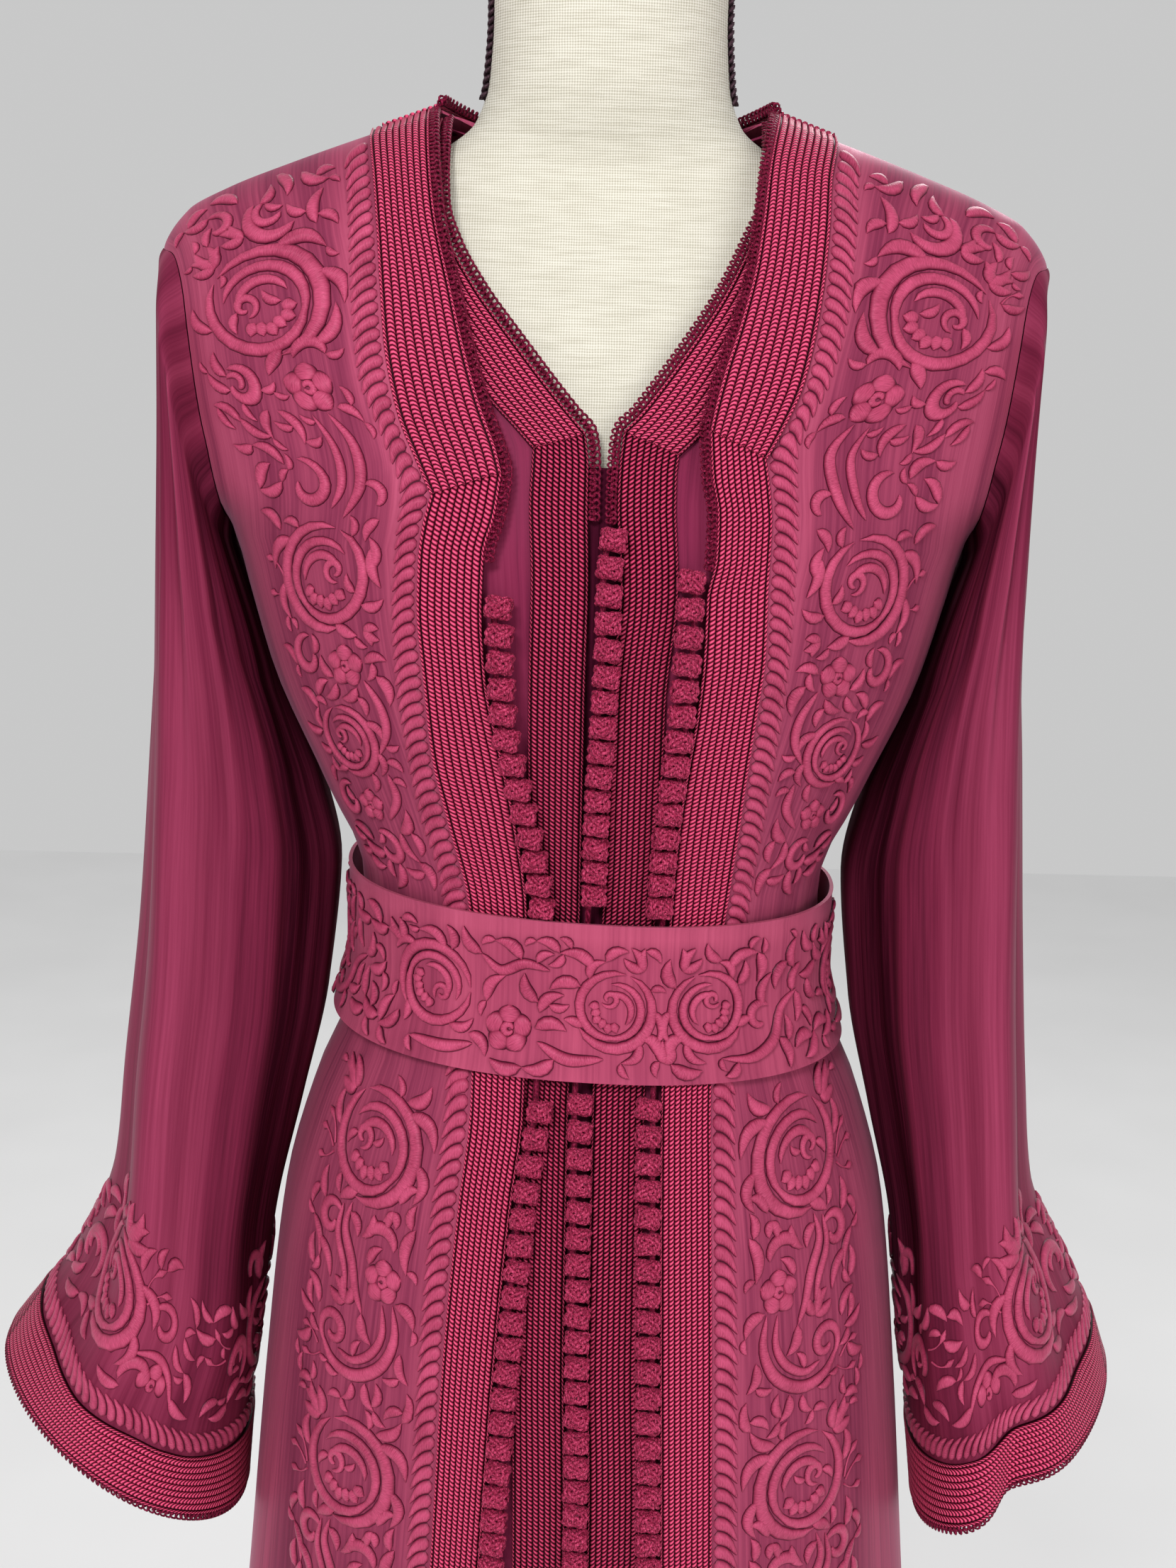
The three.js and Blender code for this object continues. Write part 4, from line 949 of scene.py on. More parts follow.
def sleeve_shade(angle, t, fold):
    """Darker on the side next to the body, under the gathers, in the folds and on the stitched cuff."""
    inner_side = smoothstep(angle, 90, 122) * (1 - smoothstep(angle, 225, 262))
    streaks = 0.5 + 0.3 * np.sin(np.radians(angle * 13)) + 0.2 * np.sin(np.radians(angle * 31 + 40))
    shade = (0.85 * (0.6 + 0.4 * streaks) * inner_side)[:, None] * (1 - smoothstep(t, 6.2, 8.4))
    shade = shade + 0.5 * streaks[:, None] * (1 - smoothstep(t, 0.2, 2.6))
    shade = shade + (0.12 + 0.88 * inner_side)[:, None] * np.clip(-fold / 12, 0, 1)
    shade = shade + 0.3 * smoothstep(t, 7.0, 7.8)
    return np.clip(np.concatenate([np.repeat(shade[:, :1], HEAD_ROWS - 1, axis=1), shade], axis=1), 0, 1)


def sleeve_surface(sign):
    """The sleeve's outer face and its shade: the first axis goes round from its outermost line, the second
    down it."""
    folds = SLEEVE_FOLDS + (CUFF_DENT if sign > 0 else [])
    angle = 360 * np.arange(SLEEVE_COLUMNS) / SLEEVE_COLUMNS
    out, fore = np.cos(np.radians(angle))[:, None], np.sin(np.radians(angle))[:, None]
    rings = [{**row, "t": t} for t, row in enumerate(SLEEVE_RINGS[sign])]
    column = {key: Curve(rings, "t", key) for key in RING_COLUMNS.split()}
    t = np.linspace(0, LAST_RING, SLEEVE_ROWS)[None, :]
    ring = {key: curve(t) for key, curve in column.items()}
    ring["in_x"] = ring["in_x"] - np.interp(t, *np.transpose(SLEEVE_CLOSER))
    fold = sleeve_fold(folds, angle[:, None], t) + crease(angle[:, None], t)
    depth = np.where(fore > 0, ring["fore"], ring["aft"])
    reach = (ring["out_x"] + ring["in_x"]) / 2 + out * (ring["out_x"] - ring["in_x"]) / 2
    reach = reach - ring["lean"] * fore
    z = (ring["out_z"] + ring["in_z"]) / 2 + out * (ring["out_z"] - ring["in_z"]) / 2
    hanging = np.stack([sign * (reach + fold * out), -(depth + fold) * fore, z + 0 * fold], axis=-1)
    return np.concatenate([sleeve_head(sign, angle, hanging), hanging], axis=1), sleeve_shade(angle, t, fold)


class Surface:
    """A grid of points and outward normals, read at any place by two coordinates."""

    def __init__(self, first, second, points, normals, loop=False):
        if loop:
            first = np.append(first, first[0] + 360)
            points = np.concatenate([points, points[:1]])
            normals = np.concatenate([normals, normals[:1]])
        self.first, self.second, self.points, self.normals, self.loop = first, second, points, normals, loop

    def __call__(self, a, b, lift=0.0):
        a = np.mod(a, 360) if self.loop else a
        i = np.clip(np.searchsorted(self.first, a, side="right") - 1, 0, len(self.first) - 2)
        j = np.clip(np.searchsorted(self.second, b, side="right") - 1, 0, len(self.second) - 2)
        p = np.clip((a - self.first[i]) / (self.first[i + 1] - self.first[i]), -0.5, 1.5)[..., None]
        q = np.clip((b - self.second[j]) / (self.second[j + 1] - self.second[j]), -4, 4)[..., None]
        parts = []
        for grid in (self.points, self.normals):
            parts.append((grid[i, j] * (1 - p) + grid[i + 1, j] * p) * (1 - q)
                         + (grid[i, j + 1] * (1 - p) + grid[i + 1, j + 1] * p) * q)
        return parts[0] + unit(parts[1]) * np.asarray(lift)[..., None]


CUFF_REACH, CUFF_ROWS = 190, 64
sleeves = {}
for side, sign in SIDES.items():
    grid, shade = sleeve_surface(sign)
    inward = facing_in(grid, grid.mean(axis=0), loop=True)
    sew_cloth("sleeve_cloth_" + side, grid, inward, CLOTH, SHADED_SLEEVE_SATIN,
              ["sleeve_" + side], loop=True, shade=shade)
    up = grid[:, ::-1]
    gone = run_lengths(up, 1)
    away = np.linspace(0, CUFF_REACH, CUFF_ROWS)
    near = np.stack([at_lengths(away, gone[a], up[a]) for a in range(len(up))])
    outward = -facing_in(near, near.mean(axis=0), loop=True)
    sleeves[side] = Surface(360 * np.arange(SLEEVE_COLUMNS) / SLEEVE_COLUMNS, away, near, outward, loop=True)


# Rope-stitched borders, beside the braids
LEAF_PITCH, LOW_LEAF_PITCH = 6.2, 7.3
BORDER_CLEAR_OF_BRAID, BORDER_CLEAR_OF_EDGE = 1.6, 0.8
LOW_LEAVES_TOP_Z = 1034
CUFF_BORDER = 37.5, 49
CUFF_LEAVES = 80


def stroke_map(across, along):
    """The cloth map of raised strokes, from (count, rows, columns) grids: tops, then low edges."""
    top = np.stack(np.broadcast_arrays(across, along), axis=-1)
    low = top[..., [0, -1], :]
    return np.concatenate([top.reshape(len(top), -1, 2), low.reshape(len(low), -1, 2)], axis=1).reshape(-1, 2)


def rope_leaves(name, place, starts, pitch, replaced=()):
    """Slanted pillows of satin stitch. place(a, b, lift) gives points a across the border and b along it."""
    a = np.linspace(0, 1, 8)[None, :, None]
    c = np.linspace(-1, 1, 5)[None, None, :]
    near_end = 1 - 0.55 * (1 - smoothstep(a, 0, 0.16))
    far_end = 1 - 0.6 * smoothstep(a, 0.8, 1)
    pitch = pitch[:, None, None]
    half = 0.5 * pitch * near_end * far_end
    middle = starts[:, None, None] - pitch * (0.2 * a + 1.1 * a**3)
    along = middle + c * half
    height = 1.7 * (1 - np.abs(c) ** 3) * (0.3 + 0.7 * near_end * far_end)
    shape = np.broadcast(along, height).shape
    along = np.broadcast_to(along, shape)
    across = np.broadcast_to(a, shape)
    top = place(across, along, np.broadcast_to(height, shape))
    low = place(across[..., [0, -1]], along[..., [0, -1]], 0.1)
    points, faces = close_walls(top, low)
    flat = stroke_map(np.broadcast_to(c, shape), across * 0.011)
    return make_piece(name, points, faces, STITCHED, replaced, flat, soft_angle=80)


def cuff_point(surface, first, last):
    return lambda a, b, lift: surface(b, first + (last - first) * a, lift)


for side, sign in SIDES.items():
    inner = Curve(OUTER_BRAID[sign], "z_out", "x_out")
    outer = Curve(ROPE_EDGE[sign], "z", "x")

    def border_point(a, b, lift, sign=sign, inner=inner, outer=outer):
        near, far = inner(b) + BORDER_CLEAR_OF_BRAID, outer(b) - BORDER_CLEAR_OF_EDGE
        return worn(sign * (near + (far - near) * a), b, -1, lift)

    low = np.arange(HEM_Z + 12, LOW_LEAVES_TOP_Z, LOW_LEAF_PITCH)
    high = np.arange(LOW_LEAVES_TOP_Z, NECK_Z - 2, LEAF_PITCH)
    pitch = np.concatenate([np.full(len(low), LOW_LEAF_PITCH), np.full(len(high), LEAF_PITCH)])
    rope_leaves("rope_border_" + side, border_point, np.concatenate([low, high]), pitch)
    turn = 360 / CUFF_LEAVES
    rope_leaves("cuff_rope_border_" + side, cuff_point(sleeves[side], *CUFF_BORDER),
                turn * np.arange(CUFF_LEAVES), np.full(CUFF_LEAVES, turn))


# Cuff braids
CUFF_BRAID_WIDTH = 35.0
for side, sign in SIDES.items():
    angle, away, rise = np.broadcast_arrays(
        (360 * np.arange(150) / 150)[:, None], CUFF_BRAID_WIDTH * (1 - PLACES) + 0.2, BRAID_LIFT + RISES,
    )
    top = sleeves[side](angle, away, rise)
    low = sleeves[side](angle[:, LOW_COLUMNS], away[:, LOW_COLUMNS], 0.3)
    lay_braid("cuff_braid_cloth_" + side, top, low, ["cuff_braid_" + side], loop=True)


# Crochet edging: rings of silk, each through the next
def rings_along(name, path, outward, radius, tube, pitch, tilt, material, replaced=(), turns=(8, 4)):
    """Rings along a path of points. Each lies in the plane of the path and its outward way, and is tilted."""
    gone = run_lengths(path)
    count = max(2, int(gone[-1] / pitch))
    at = np.linspace(0, gone[-1], count, endpoint=False) + pitch / 2
    at = at[at < gone[-1]]
    centre = at_lengths(at, gone, path)
    tangent = unit(at_lengths(at + 1, gone, path) - at_lengths(at - 1, gone, path))
    out = square_to(at_lengths(at, gone, outward), tangent)
    lift = np.cross(tangent, out)
    lean = np.radians(tilt)
    along = tangent * math.cos(lean) + lift * math.sin(lean)
    normal = np.cross(along, out)
    big = 2 * math.pi * np.arange(turns[0]) / turns[0]
    small = 2 * math.pi * np.arange(turns[1]) / turns[1]
    spoke = along[:, None] * np.cos(big)[None, :, None] * 1.15 + out[:, None] * np.sin(big)[None, :, None]
    points = (centre[:, None, None] + spoke[:, :, None] * (radius + tube * np.cos(small)[None, None, :, None])
              + normal[:, None, None] * tube * np.sin(small)[None, None, :, None])
    faces = repeated(looped(*turns), len(centre), turns[0] * turns[1])
    return make_piece(name, points.reshape(-1, 3), [faces], material, replaced, soft_angle=180)


def crochet(name, path, outward, replaced, reach=0.0):
    """Edging of two rows of rings, leaning opposite ways."""
    rings_along(name, path + outward * (1.2 + reach), outward, 1.25, 0.75, 2.6, 42,
                EDGING, replaced)
    rings_along(name + "_scallops", path + outward * (3.0 + reach), outward, 1.45, 0.6, 3.1, -35,
                EDGING)


OUTER_CROCHET_END_Z, INNER_CROCHET_END_Z = 1279, 1299
for side, sign in SIDES.items():
    for layer, edges, end, depth, skirt, reach in (
        ("outer", OUTER_BRAID, OUTER_CROCHET_END_Z, 0.0, outer_skirt, 0.0),
        ("inner", INNER_BRAID, INNER_CROCHET_END_Z, INNER_DEPTH, inner_skirt, 0.6),
    ):
        z_in, x_in, _, _ = braid_stations(edges[sign], close=3.0)
        keep = z_in > end
        z_in, x_in = z_in[keep], x_in[keep]
        path = worn(sign * x_in, z_in, -1, 1.3 - depth, skirt)
        step = worn(sign * (x_in - 2), z_in, -1, 1.3 - depth, skirt)
        out = square_to(step - path, unit(np.gradient(path, axis=0)))
        crochet(f"{layer}_crochet_{side}", path, out, [f"{layer}_edging_{side}"], reach)
    angle = np.append(360 * np.arange(220) / 220, 360)
    path = sleeves[side](angle, np.zeros(221), np.full(221, 0.4))
    above = sleeves[side](angle, np.full(221, 4.0), np.full(221, 0.4))
    crochet("cuff_crochet_" + side, path, unit(path - above), ["cuff_edging_" + side], -0.4)

share = np.sin(np.radians(90 * np.linspace(-1, 1, 81)))
path = neck_points(share, np.zeros(81), 1.2)
above = np.zeros((81, 3)) + np.array([0, 0, 1.0])
crochet("back_neck_crochet", path, unit(above + path * np.array([-0.004, -0.004, 0])), [])


# Knot buttons
KNOT_RADIUS, KNOT_WEAVE, KNOT_HALF = 4.05, 0.6, 4.5
STRAND_RADIUS, STRAND_APART = 0.98, 0.92
# Sizes of the dark rings inside the knots, which paint the shade between their strands
CORE_HALF, CORE_BORE, CORE_RADIUS, CORE_SIDES = 4.2, 1.7, 3.3, 10
KNOT_CORD_RADIUS, KNOT_CORD_DEPTH = 1.5, 2.2


def ring_points(radius, sides, first, second):
    """Rings of points about a line, in the planes of two sets of unit vectors."""
    turn = (2 * math.pi * np.arange(sides) / sides)[None, :, None]
    return radius * (first[:, None] * np.cos(turn) + second[:, None] * np.sin(turn))


def knot_shape(turns=64, sides=5):
    """A woven barrel about the x axis: a doubled strand goes three times round it, over and under itself."""
    t = 2 * math.pi * np.arange(turns) / turns
    radius = KNOT_RADIUS + KNOT_WEAVE * np.sin(10 * t)
    line = np.stack([KNOT_HALF * np.sin(5 * t), radius * np.cos(3 * t), radius * np.sin(3 * t)], axis=-1)
    tangent = unit(np.roll(line, -1, axis=0) - np.roll(line, 1, axis=0))
    out = square_to(line * np.array([0, 1, 1]), tangent)
    beside = np.cross(tangent, out)
    tube = ring_points(STRAND_RADIUS, sides, out, beside)
    face = looped(turns, sides)
    apart = STRAND_APART * beside[:, None]
    strands = [(line[:, None] + tube + way * apart).reshape(-1, 3) for way in (-1, 1)]
    return np.concatenate(strands), np.concatenate([face, face + turns * sides])


def knot_shade_core():
    """A dark ring inside each knot, put there as the painted shade that shows between its strands."""
    shade_core = [(-CORE_HALF, CORE_BORE), (-CORE_HALF, CORE_RADIUS),
            (CORE_HALF, CORE_RADIUS), (CORE_HALF, CORE_BORE)]
    rim = 2 * math.pi * np.arange(CORE_SIDES) / CORE_SIDES
    ring = np.array([[(x, r * math.cos(v), r * math.sin(v)) for x, r in shade_core] for v in rim]).reshape(-1, 3)
    return ring, looped(CORE_SIDES, 4)[:, ::-1]


def tube_along(name, path, radius, sides, material, more):
    """A cord along a path of points, joined in one piece with more points and faces."""
    tangent = unit(np.gradient(path, axis=0))
    beside = unit(np.cross(tangent, np.array([0, 1.0, 0])))
    ring = path[:, None] + ring_points(radius, sides, beside, np.cross(tangent, beside))
    rows = len(path)
    here = np.arange(rows - 1)[:, None] * sides + np.arange(sides)[None]
    nxt = np.arange(rows - 1)[:, None] * sides + (np.arange(sides)[None] + 1) % sides
    quads = np.stack([here, nxt, nxt + sides, here + sides], axis=-1).reshape(-1, 4)
    ends = np.stack([np.arange(sides)[::-1], (rows - 1) * sides + np.arange(sides)])
    points = np.concatenate([ring.reshape(-1, 3), more[0]])
    return make_piece(name, points, [quads, ends, more[1] + rows * sides], material, soft_angle=180)


shape, shape_faces = knot_shape()
shade_core, shade_core_faces = knot_shade_core()
for column in KNOT_COLUMNS:
    path = Curve(column["path"], "z", "x")
    upper, lower = column["tops"]
    heights = np.concatenate([
        np.arange(upper, BELT["top"] + KNOT_PITCH / 2, -KNOT_PITCH),
        np.arange(lower, KNOT_END_Z + KNOT_PITCH / 2, -KNOT_PITCH),
    ])
    count = len(heights)
    middle = worn(path(heights), heights, -1, column["lift"])
    normal = surface_normal(middle[:, 0], middle[:, 1], middle[:, 2], -1)
    spin = np.radians(37 * np.arange(count))
    lean = np.radians(4 * np.sin(1.7 * np.arange(count)) - 6 * column["reach"])
    along = np.stack([np.cos(lean), 0 * lean, np.sin(lean)], axis=-1) * np.array([column["reach"], 0, 1])
    along = square_to(along, normal)
    up = np.cross(normal, along)
    first = normal * np.cos(spin)[:, None] + up * np.sin(spin)[:, None]
    second = np.cross(along, first)
    axes = np.stack([along, first, second], axis=1)
    points, shade_cores = (middle[:, None] + np.einsum("pk,nkj->npj", each, axes) for each in (shape, shade_core))
    node = "inner_knots" if column["name"] == "middle" else "outer_knots_" + column["name"]
    make_piece("knots_" + column["name"], points.reshape(-1, 3), [repeated(shape_faces, count, len(shape))],
               CORD, [node], soft_angle=180)
    run = np.linspace(heights[0] + 5, KNOT_END_Z - 2, 120)
    line = worn(path(run) + 2.5 * column["reach"], run, -1, column["lift"] - KNOT_CORD_DEPTH)
    # the knot cord's piece also holds the dark rings that paint shade inside the knots
    tube_along("knot_cord_and_shade_core_" + column["name"], line, KNOT_CORD_RADIUS, 6, EDGING,
               (shade_cores.reshape(-1, 3), repeated(shade_core_faces, count, len(shade_core))))


# Belt
def belt_point(angle, height, lift):
    """A point of the belt's outer face. Angles go round from the centre front to the viewer's right."""
    rise = BELT["overlap"] * smoothstep(angle, 120, 176)
    offset = BELT["clear"] + BELT["thickness"] + rise + lift
    x, y = oval(angle, half_width(height) + offset, front_depth(height) + offset, back_depth(height) + offset)
    return np.stack([x, y, height - BELT["tilt"] * x], axis=-1)


def make_belt():
    angle = np.linspace(-180, 196, 170)[:, None]
    share = np.linspace(0, 1, 25)[None]
    height = BELT["top"] + (BELT["bottom"] - BELT["top"]) * share
    bow = 0.5 * np.sin(math.pi * share) + 0.25 * np.sin(np.radians(angle * 9)) * np.sin(math.pi * share)
    hem = 0.45 * (hump(share, 0.035, 0.02) + hump(share, 0.965, 0.02))
    grid = belt_point(angle, height, bow - hem - 0.4)
    back = belt_point(angle, height, -BELT["thickness"] + 0.3 + 0 * bow)
    points, faces = close_walls(grid[None], back[None])
    u = run_lengths(grid, 0) * MM
    across = np.broadcast_to((BELT["top"] - height) * MM, u.shape)
    flat = np.stack([np.broadcast_to(u.mean(axis=1)[:, None], u.shape), across], axis=-1).reshape(-1, 2)
    shade = np.tile((0.22 * smoothstep(share, 0.06, 0.22) + 0 * angle).ravel(), 2)
    belt = make_piece("belt_cloth", points, faces, BELT_SATIN, ["belt"],
                      np.concatenate([flat, flat]), shade=shade)


make_belt()


# Embroidery: scrolls, leaves and flowers of raised satin stitch, drawn flat and then laid on the dress. A
# stroke is its centre line and its half widths in millimetres.
def through(points, samples):
    """A smooth line through points."""
    points = np.asarray(points, float)
    line = np.concatenate([[2 * points[0] - points[1]], points, [2 * points[-1] - points[-2]]])
    t = np.linspace(0, len(points) - 1, samples)
    i = np.minimum(t.astype(int), len(points) - 2)
    u = (t - i)[:, None]
    a, b, c, d = (line[i + k] for k in range(4))
    return 0.5 * (2 * b + (c - a) * u + (2 * a - 5 * b + 4 * c - d) * u**2 + (3 * b - a - 3 * c + d) * u**3)


def turned(angle, length=1.0):
    """A point a length away at an angle in degrees."""
    return length * np.array([math.cos(math.radians(angle)), math.sin(math.radians(angle))])


def taper(samples, swell, power):
    """Widths that taper to both ends. swell says where along it is widest."""
    t = np.linspace(0, 1, samples)
    t = np.where(t < swell, 0.5 * t / swell, 0.5 + 0.5 * (t - swell) / (1 - swell))
    return np.sin(math.pi * t) ** power


def ribbon(points, width, samples=16):
    return [(through(points, samples), width * taper(samples, 0.5, 0.6) + 0.15)]


def arc(centre, radius, end_radius, start, turn, width, swell=0.45):
    """A curl: an arc round a centre from one angle through a turn, drawing in to its end radius."""
    samples = max(8, int(abs(turn) / 18) + 3)
    t = np.linspace(0, 1, samples)
    angle = np.radians(start + turn * t)
    r = radius + (end_radius - radius) * t
    line = np.array(centre, float) + np.stack([r * np.cos(angle), r * np.sin(angle)], axis=-1)
    return [(line, width * taper(samples, swell, 0.5) + 0.15)]


def leaf(base, tip, width, bend=0.0, samples=9):
    base, tip = np.array(base, float), np.array(tip, float)
    across = np.array([base[1] - tip[1], tip[0] - base[0]])
    t = np.linspace(0, 1, samples)
    line = base + (tip - base) * t[:, None] + across * (bend * np.sin(math.pi * t))[:, None]
    return [(line, width * np.sin(math.pi * t**0.8) ** 0.8 + 0.12)]


def bud(base, tip, width, bend=0.15):
    """A stalk that ends in a bud."""
    (line, _), = leaf(base, tip, width, bend, 10)
    t = np.linspace(0, 1, 10)
    return [(line, width * (0.28 * (1 - t) + hump(t, 0.82, 0.16) * (1 - t**8)))]


def flower(centre, radius, petals=5, start=90):
    strokes = []
    t = np.linspace(0, 1, 9)
    for k in range(petals):
        way = turned(start + 360 * k / petals)
        line = np.array(centre, float) + way * (radius * (0.34 + 0.72 * t))[:, None]
        strokes.append((line, 0.42 * radius * np.sin(math.pi * (0.12 + 0.86 * t)) ** 0.55))
    return strokes + arc(centre, 0.2 * radius, 0.2 * radius, 0, 350, 0.13 * radius)


def fan(base, way, length, width, spread=24, count=4):
    """A shell leaf of lobes from one base."""
    strokes = []
    for k in range(count):
        place = k - (count - 1) / 2
        tip = np.array(base) + turned(way + spread * place, length * (1 - 0.12 * abs(place)))
        strokes += leaf(base, tip, width, 0.12 * (1 if k % 2 else -1))
    return strokes


def ruffle(centre, radius, start, turn, count, size):
    """A row of short lobes along an arc."""
    strokes = []
    for k in range(count):
        way = turned(start + turn * k / (count - 1))
        place = np.array(centre, float) + way * radius * (1 + 0.08 * (k % 2))
        strokes += leaf(place - way * size * 1.3, place + way * size * 1.3, size, 0.1, 7)
    return strokes


def scroll(centre, radius, start=100, turn=1):
    """The large scroll: a ring of two ribbons with a ruffle and smaller curls inside, and leaves outside."""
    c, r = np.array(centre, float), radius
    curl = c + turned(start - 78 * turn, 0.3 * r)

    def outer_leaf(first, near, last, far, width, bend):
        base = c + r * turned(start + first * turn, near)
        tip = c + r * turned(start + last * turn, far)
        return leaf(base, tip, width * r, bend)

    return (
        arc(c, r, 0.98 * r, start - 35 * turn, 215 * turn, 0.115 * r, 0.6)
        + arc(c, 1.0 * r, 0.7 * r, start - 42 * turn, -215 * turn, 0.1 * r, 0.4)
        + arc(c, 0.73 * r, 0.69 * r, start + 135 * turn, -200 * turn, 0.085 * r)
        + arc(c, 0.48 * r, 0.4 * r, start + 80 * turn, -175 * turn, 0.075 * r)
        + arc(curl, 0.23 * r, 0.08 * r, start + 180 * turn, -380 * turn, 0.06 * r)
        + ruffle(c, 0.46 * r, start + 112 * turn, 105 * turn, 6, 0.1 * r)
        + outer_leaf(178, 0.9, 196, 1.28, 0.1, 0.1)
        + outer_leaf(30, 1.02, 68, 1.36, 0.11, -0.25 * turn)
        + outer_leaf(80, 1.04, 112, 1.34, 0.1, -0.25 * turn)
        + outer_leaf(262, 1.02, 290, 1.3, 0.1, -0.25 * turn)
    )


STROKE_SPREAD = 1.3
SPROUT_STEPS = 0.7548776662, 0.5698402910
SPROUT_LENGTHS = 15, 12, 9.5, 7.5, 6
SPROUT_GAP = 2.0, 16.0
FREE_FROM_STALK = 2


def filled(strokes, beside, low, high, edge, tries=700):
    """Small leaves that sprout from the strokes where they leave room, between two places along the pattern.
    beside holds the strokes of the neighbouring lengths, and edge(v) is how far out the stitching goes."""
    spots, ways, halves = [], [], []
    for line, width in strokes + beside:
        t = np.linspace(0, len(line) - 1, 3 * len(line))
        each = through(line, 3 * len(line))
        spots.append(each)
        ways.append(unit(np.gradient(each, axis=0)))
        halves.append(STROKE_SPREAD * np.interp(t, np.arange(len(line)), width))
    spots, ways, halves = np.concatenate(spots), np.concatenate(ways), np.concatenate(halves)
    added = []
    for k in range(1, tries):
        v = low + (high - low) * ((k * SPROUT_STEPS[0]) % 1)
        place = np.array([4 + (edge(v) - 4) * ((k * SPROUT_STEPS[1]) % 1), v])
        gap = np.hypot(*(spots - place).T) - halves
        near = int(np.argmin(gap))
        if not SPROUT_GAP[0] <= gap[near] <= SPROUT_GAP[1]:
            continue
        away = unit(place - spots[near])
        way = unit(ways[near] * (1 if k % 2 else -1) + 1.1 * away)
        base = spots[near] + away * (halves[near] * 0.8)
        for reach in SPROUT_LENGTHS:
            half = 0.15 * reach + 0.35
            (line, width), = leaf(base, base + way * reach, half, 0.2 if k % 4 < 2 else -0.2, 7)
            wide = STROKE_SPREAD * width
            gaps = spots[None] - line[FREE_FROM_STALK:, None]
            clear = np.hypot(gaps[..., 0], gaps[..., 1]) - halves - wide[FREE_FROM_STALK:, None]
            if clear.min() > 0.25 and (line[:, 0] + wide < edge(line[-1, 1])).all() and line[:, 0].min() > 2:
                added.append((line, width))
                spots = np.concatenate([spots, line])
                ways = np.concatenate([ways, unit(np.gradient(line, axis=0))])
                halves = np.concatenate([halves, wide])
                break
    return strokes + added


def moved(strokes, shift=(0, 0), scale=1.0, mirror=False):
    way = np.array([-1.0 if mirror else 1.0, 1.0])
    return [(line * way * scale + np.array(shift, float), width * scale) for line, width in strokes]


def swapped(strokes):
    """The same strokes with their two coordinates changed over."""
    return [(line[:, ::-1], width) for line, width in strokes]


# One length of the pattern beside a border: the first number goes outwards from it, the second up
BORDER_PATTERN = (
    scroll((37, -30), 26, 105)
    + fan((56, -8), 42, 17, 2.9)
    + leaf((20, -6), (6, 3), 2.6, 0.2)
    + bud((65, -36), (77, -22), 2.0) + bud((66, -38), (82, -32), 2.0) + bud((65, -40), (80, -44), 2.0, -0.15)
    + leaf((16, -52), (6, -44), 2.6, -0.25) + fan((19, -56), -75, 9, 2.0, 30, 3)
    + arc((25, -74), 9.5, 8, 10, 175, 2.6)
    + leaf((6, -62), (9, -84), 2.7, 0.16) + leaf((30, -60), (37, -72), 2.2, -0.2)
    + flower((22, -90), 10)
    + ribbon([(45, -58), (48, -70), (42, -84), (38, -98), (33, -108)], 2.1)
    + ribbon([(51, -60), (53, -74), (47, -88), (44, -100)], 1.7)
    + arc((59, -69), 9, 3, 150, -330, 2.4)
    + leaf((68, -80), (56, -97), 2.2, -0.15) + leaf((74, -72), (66, -90), 1.9, -0.15)
    + ribbon([(15, -100), (13, -116), (20, -131), (35, -139), (50, -136), (60, -125)], 2.6, 20)
    + ribbon([(21, -101), (20, -115), (26, -126), (37, -132), (47, -129)], 1.9)
    + arc((51, -121), 10, 3, -60, 400, 2.2)
    + fan((44, -106), 68, 15, 2.4, 30, 4)
    + leaf((63, -112), (74, -100), 2.3, 0.2) + leaf((66, -118), (80, -112), 2.1, -0.15)
    + bud((62, -132), (77, -126), 1.9) + bud((60, -136), (76, -139), 1.9, -0.15)
    + leaf((28, -141), (22, -153), 2.2, 0.2) + leaf((36, -143), (42, -152), 2.0, -0.25)
    + leaf((9, -122), (4, -136), 2.2, 0.2)
)
BORDER_LENGTH, BORDER_REPEATS, BORDER_TOP_Z = 158.0, 6, 1022

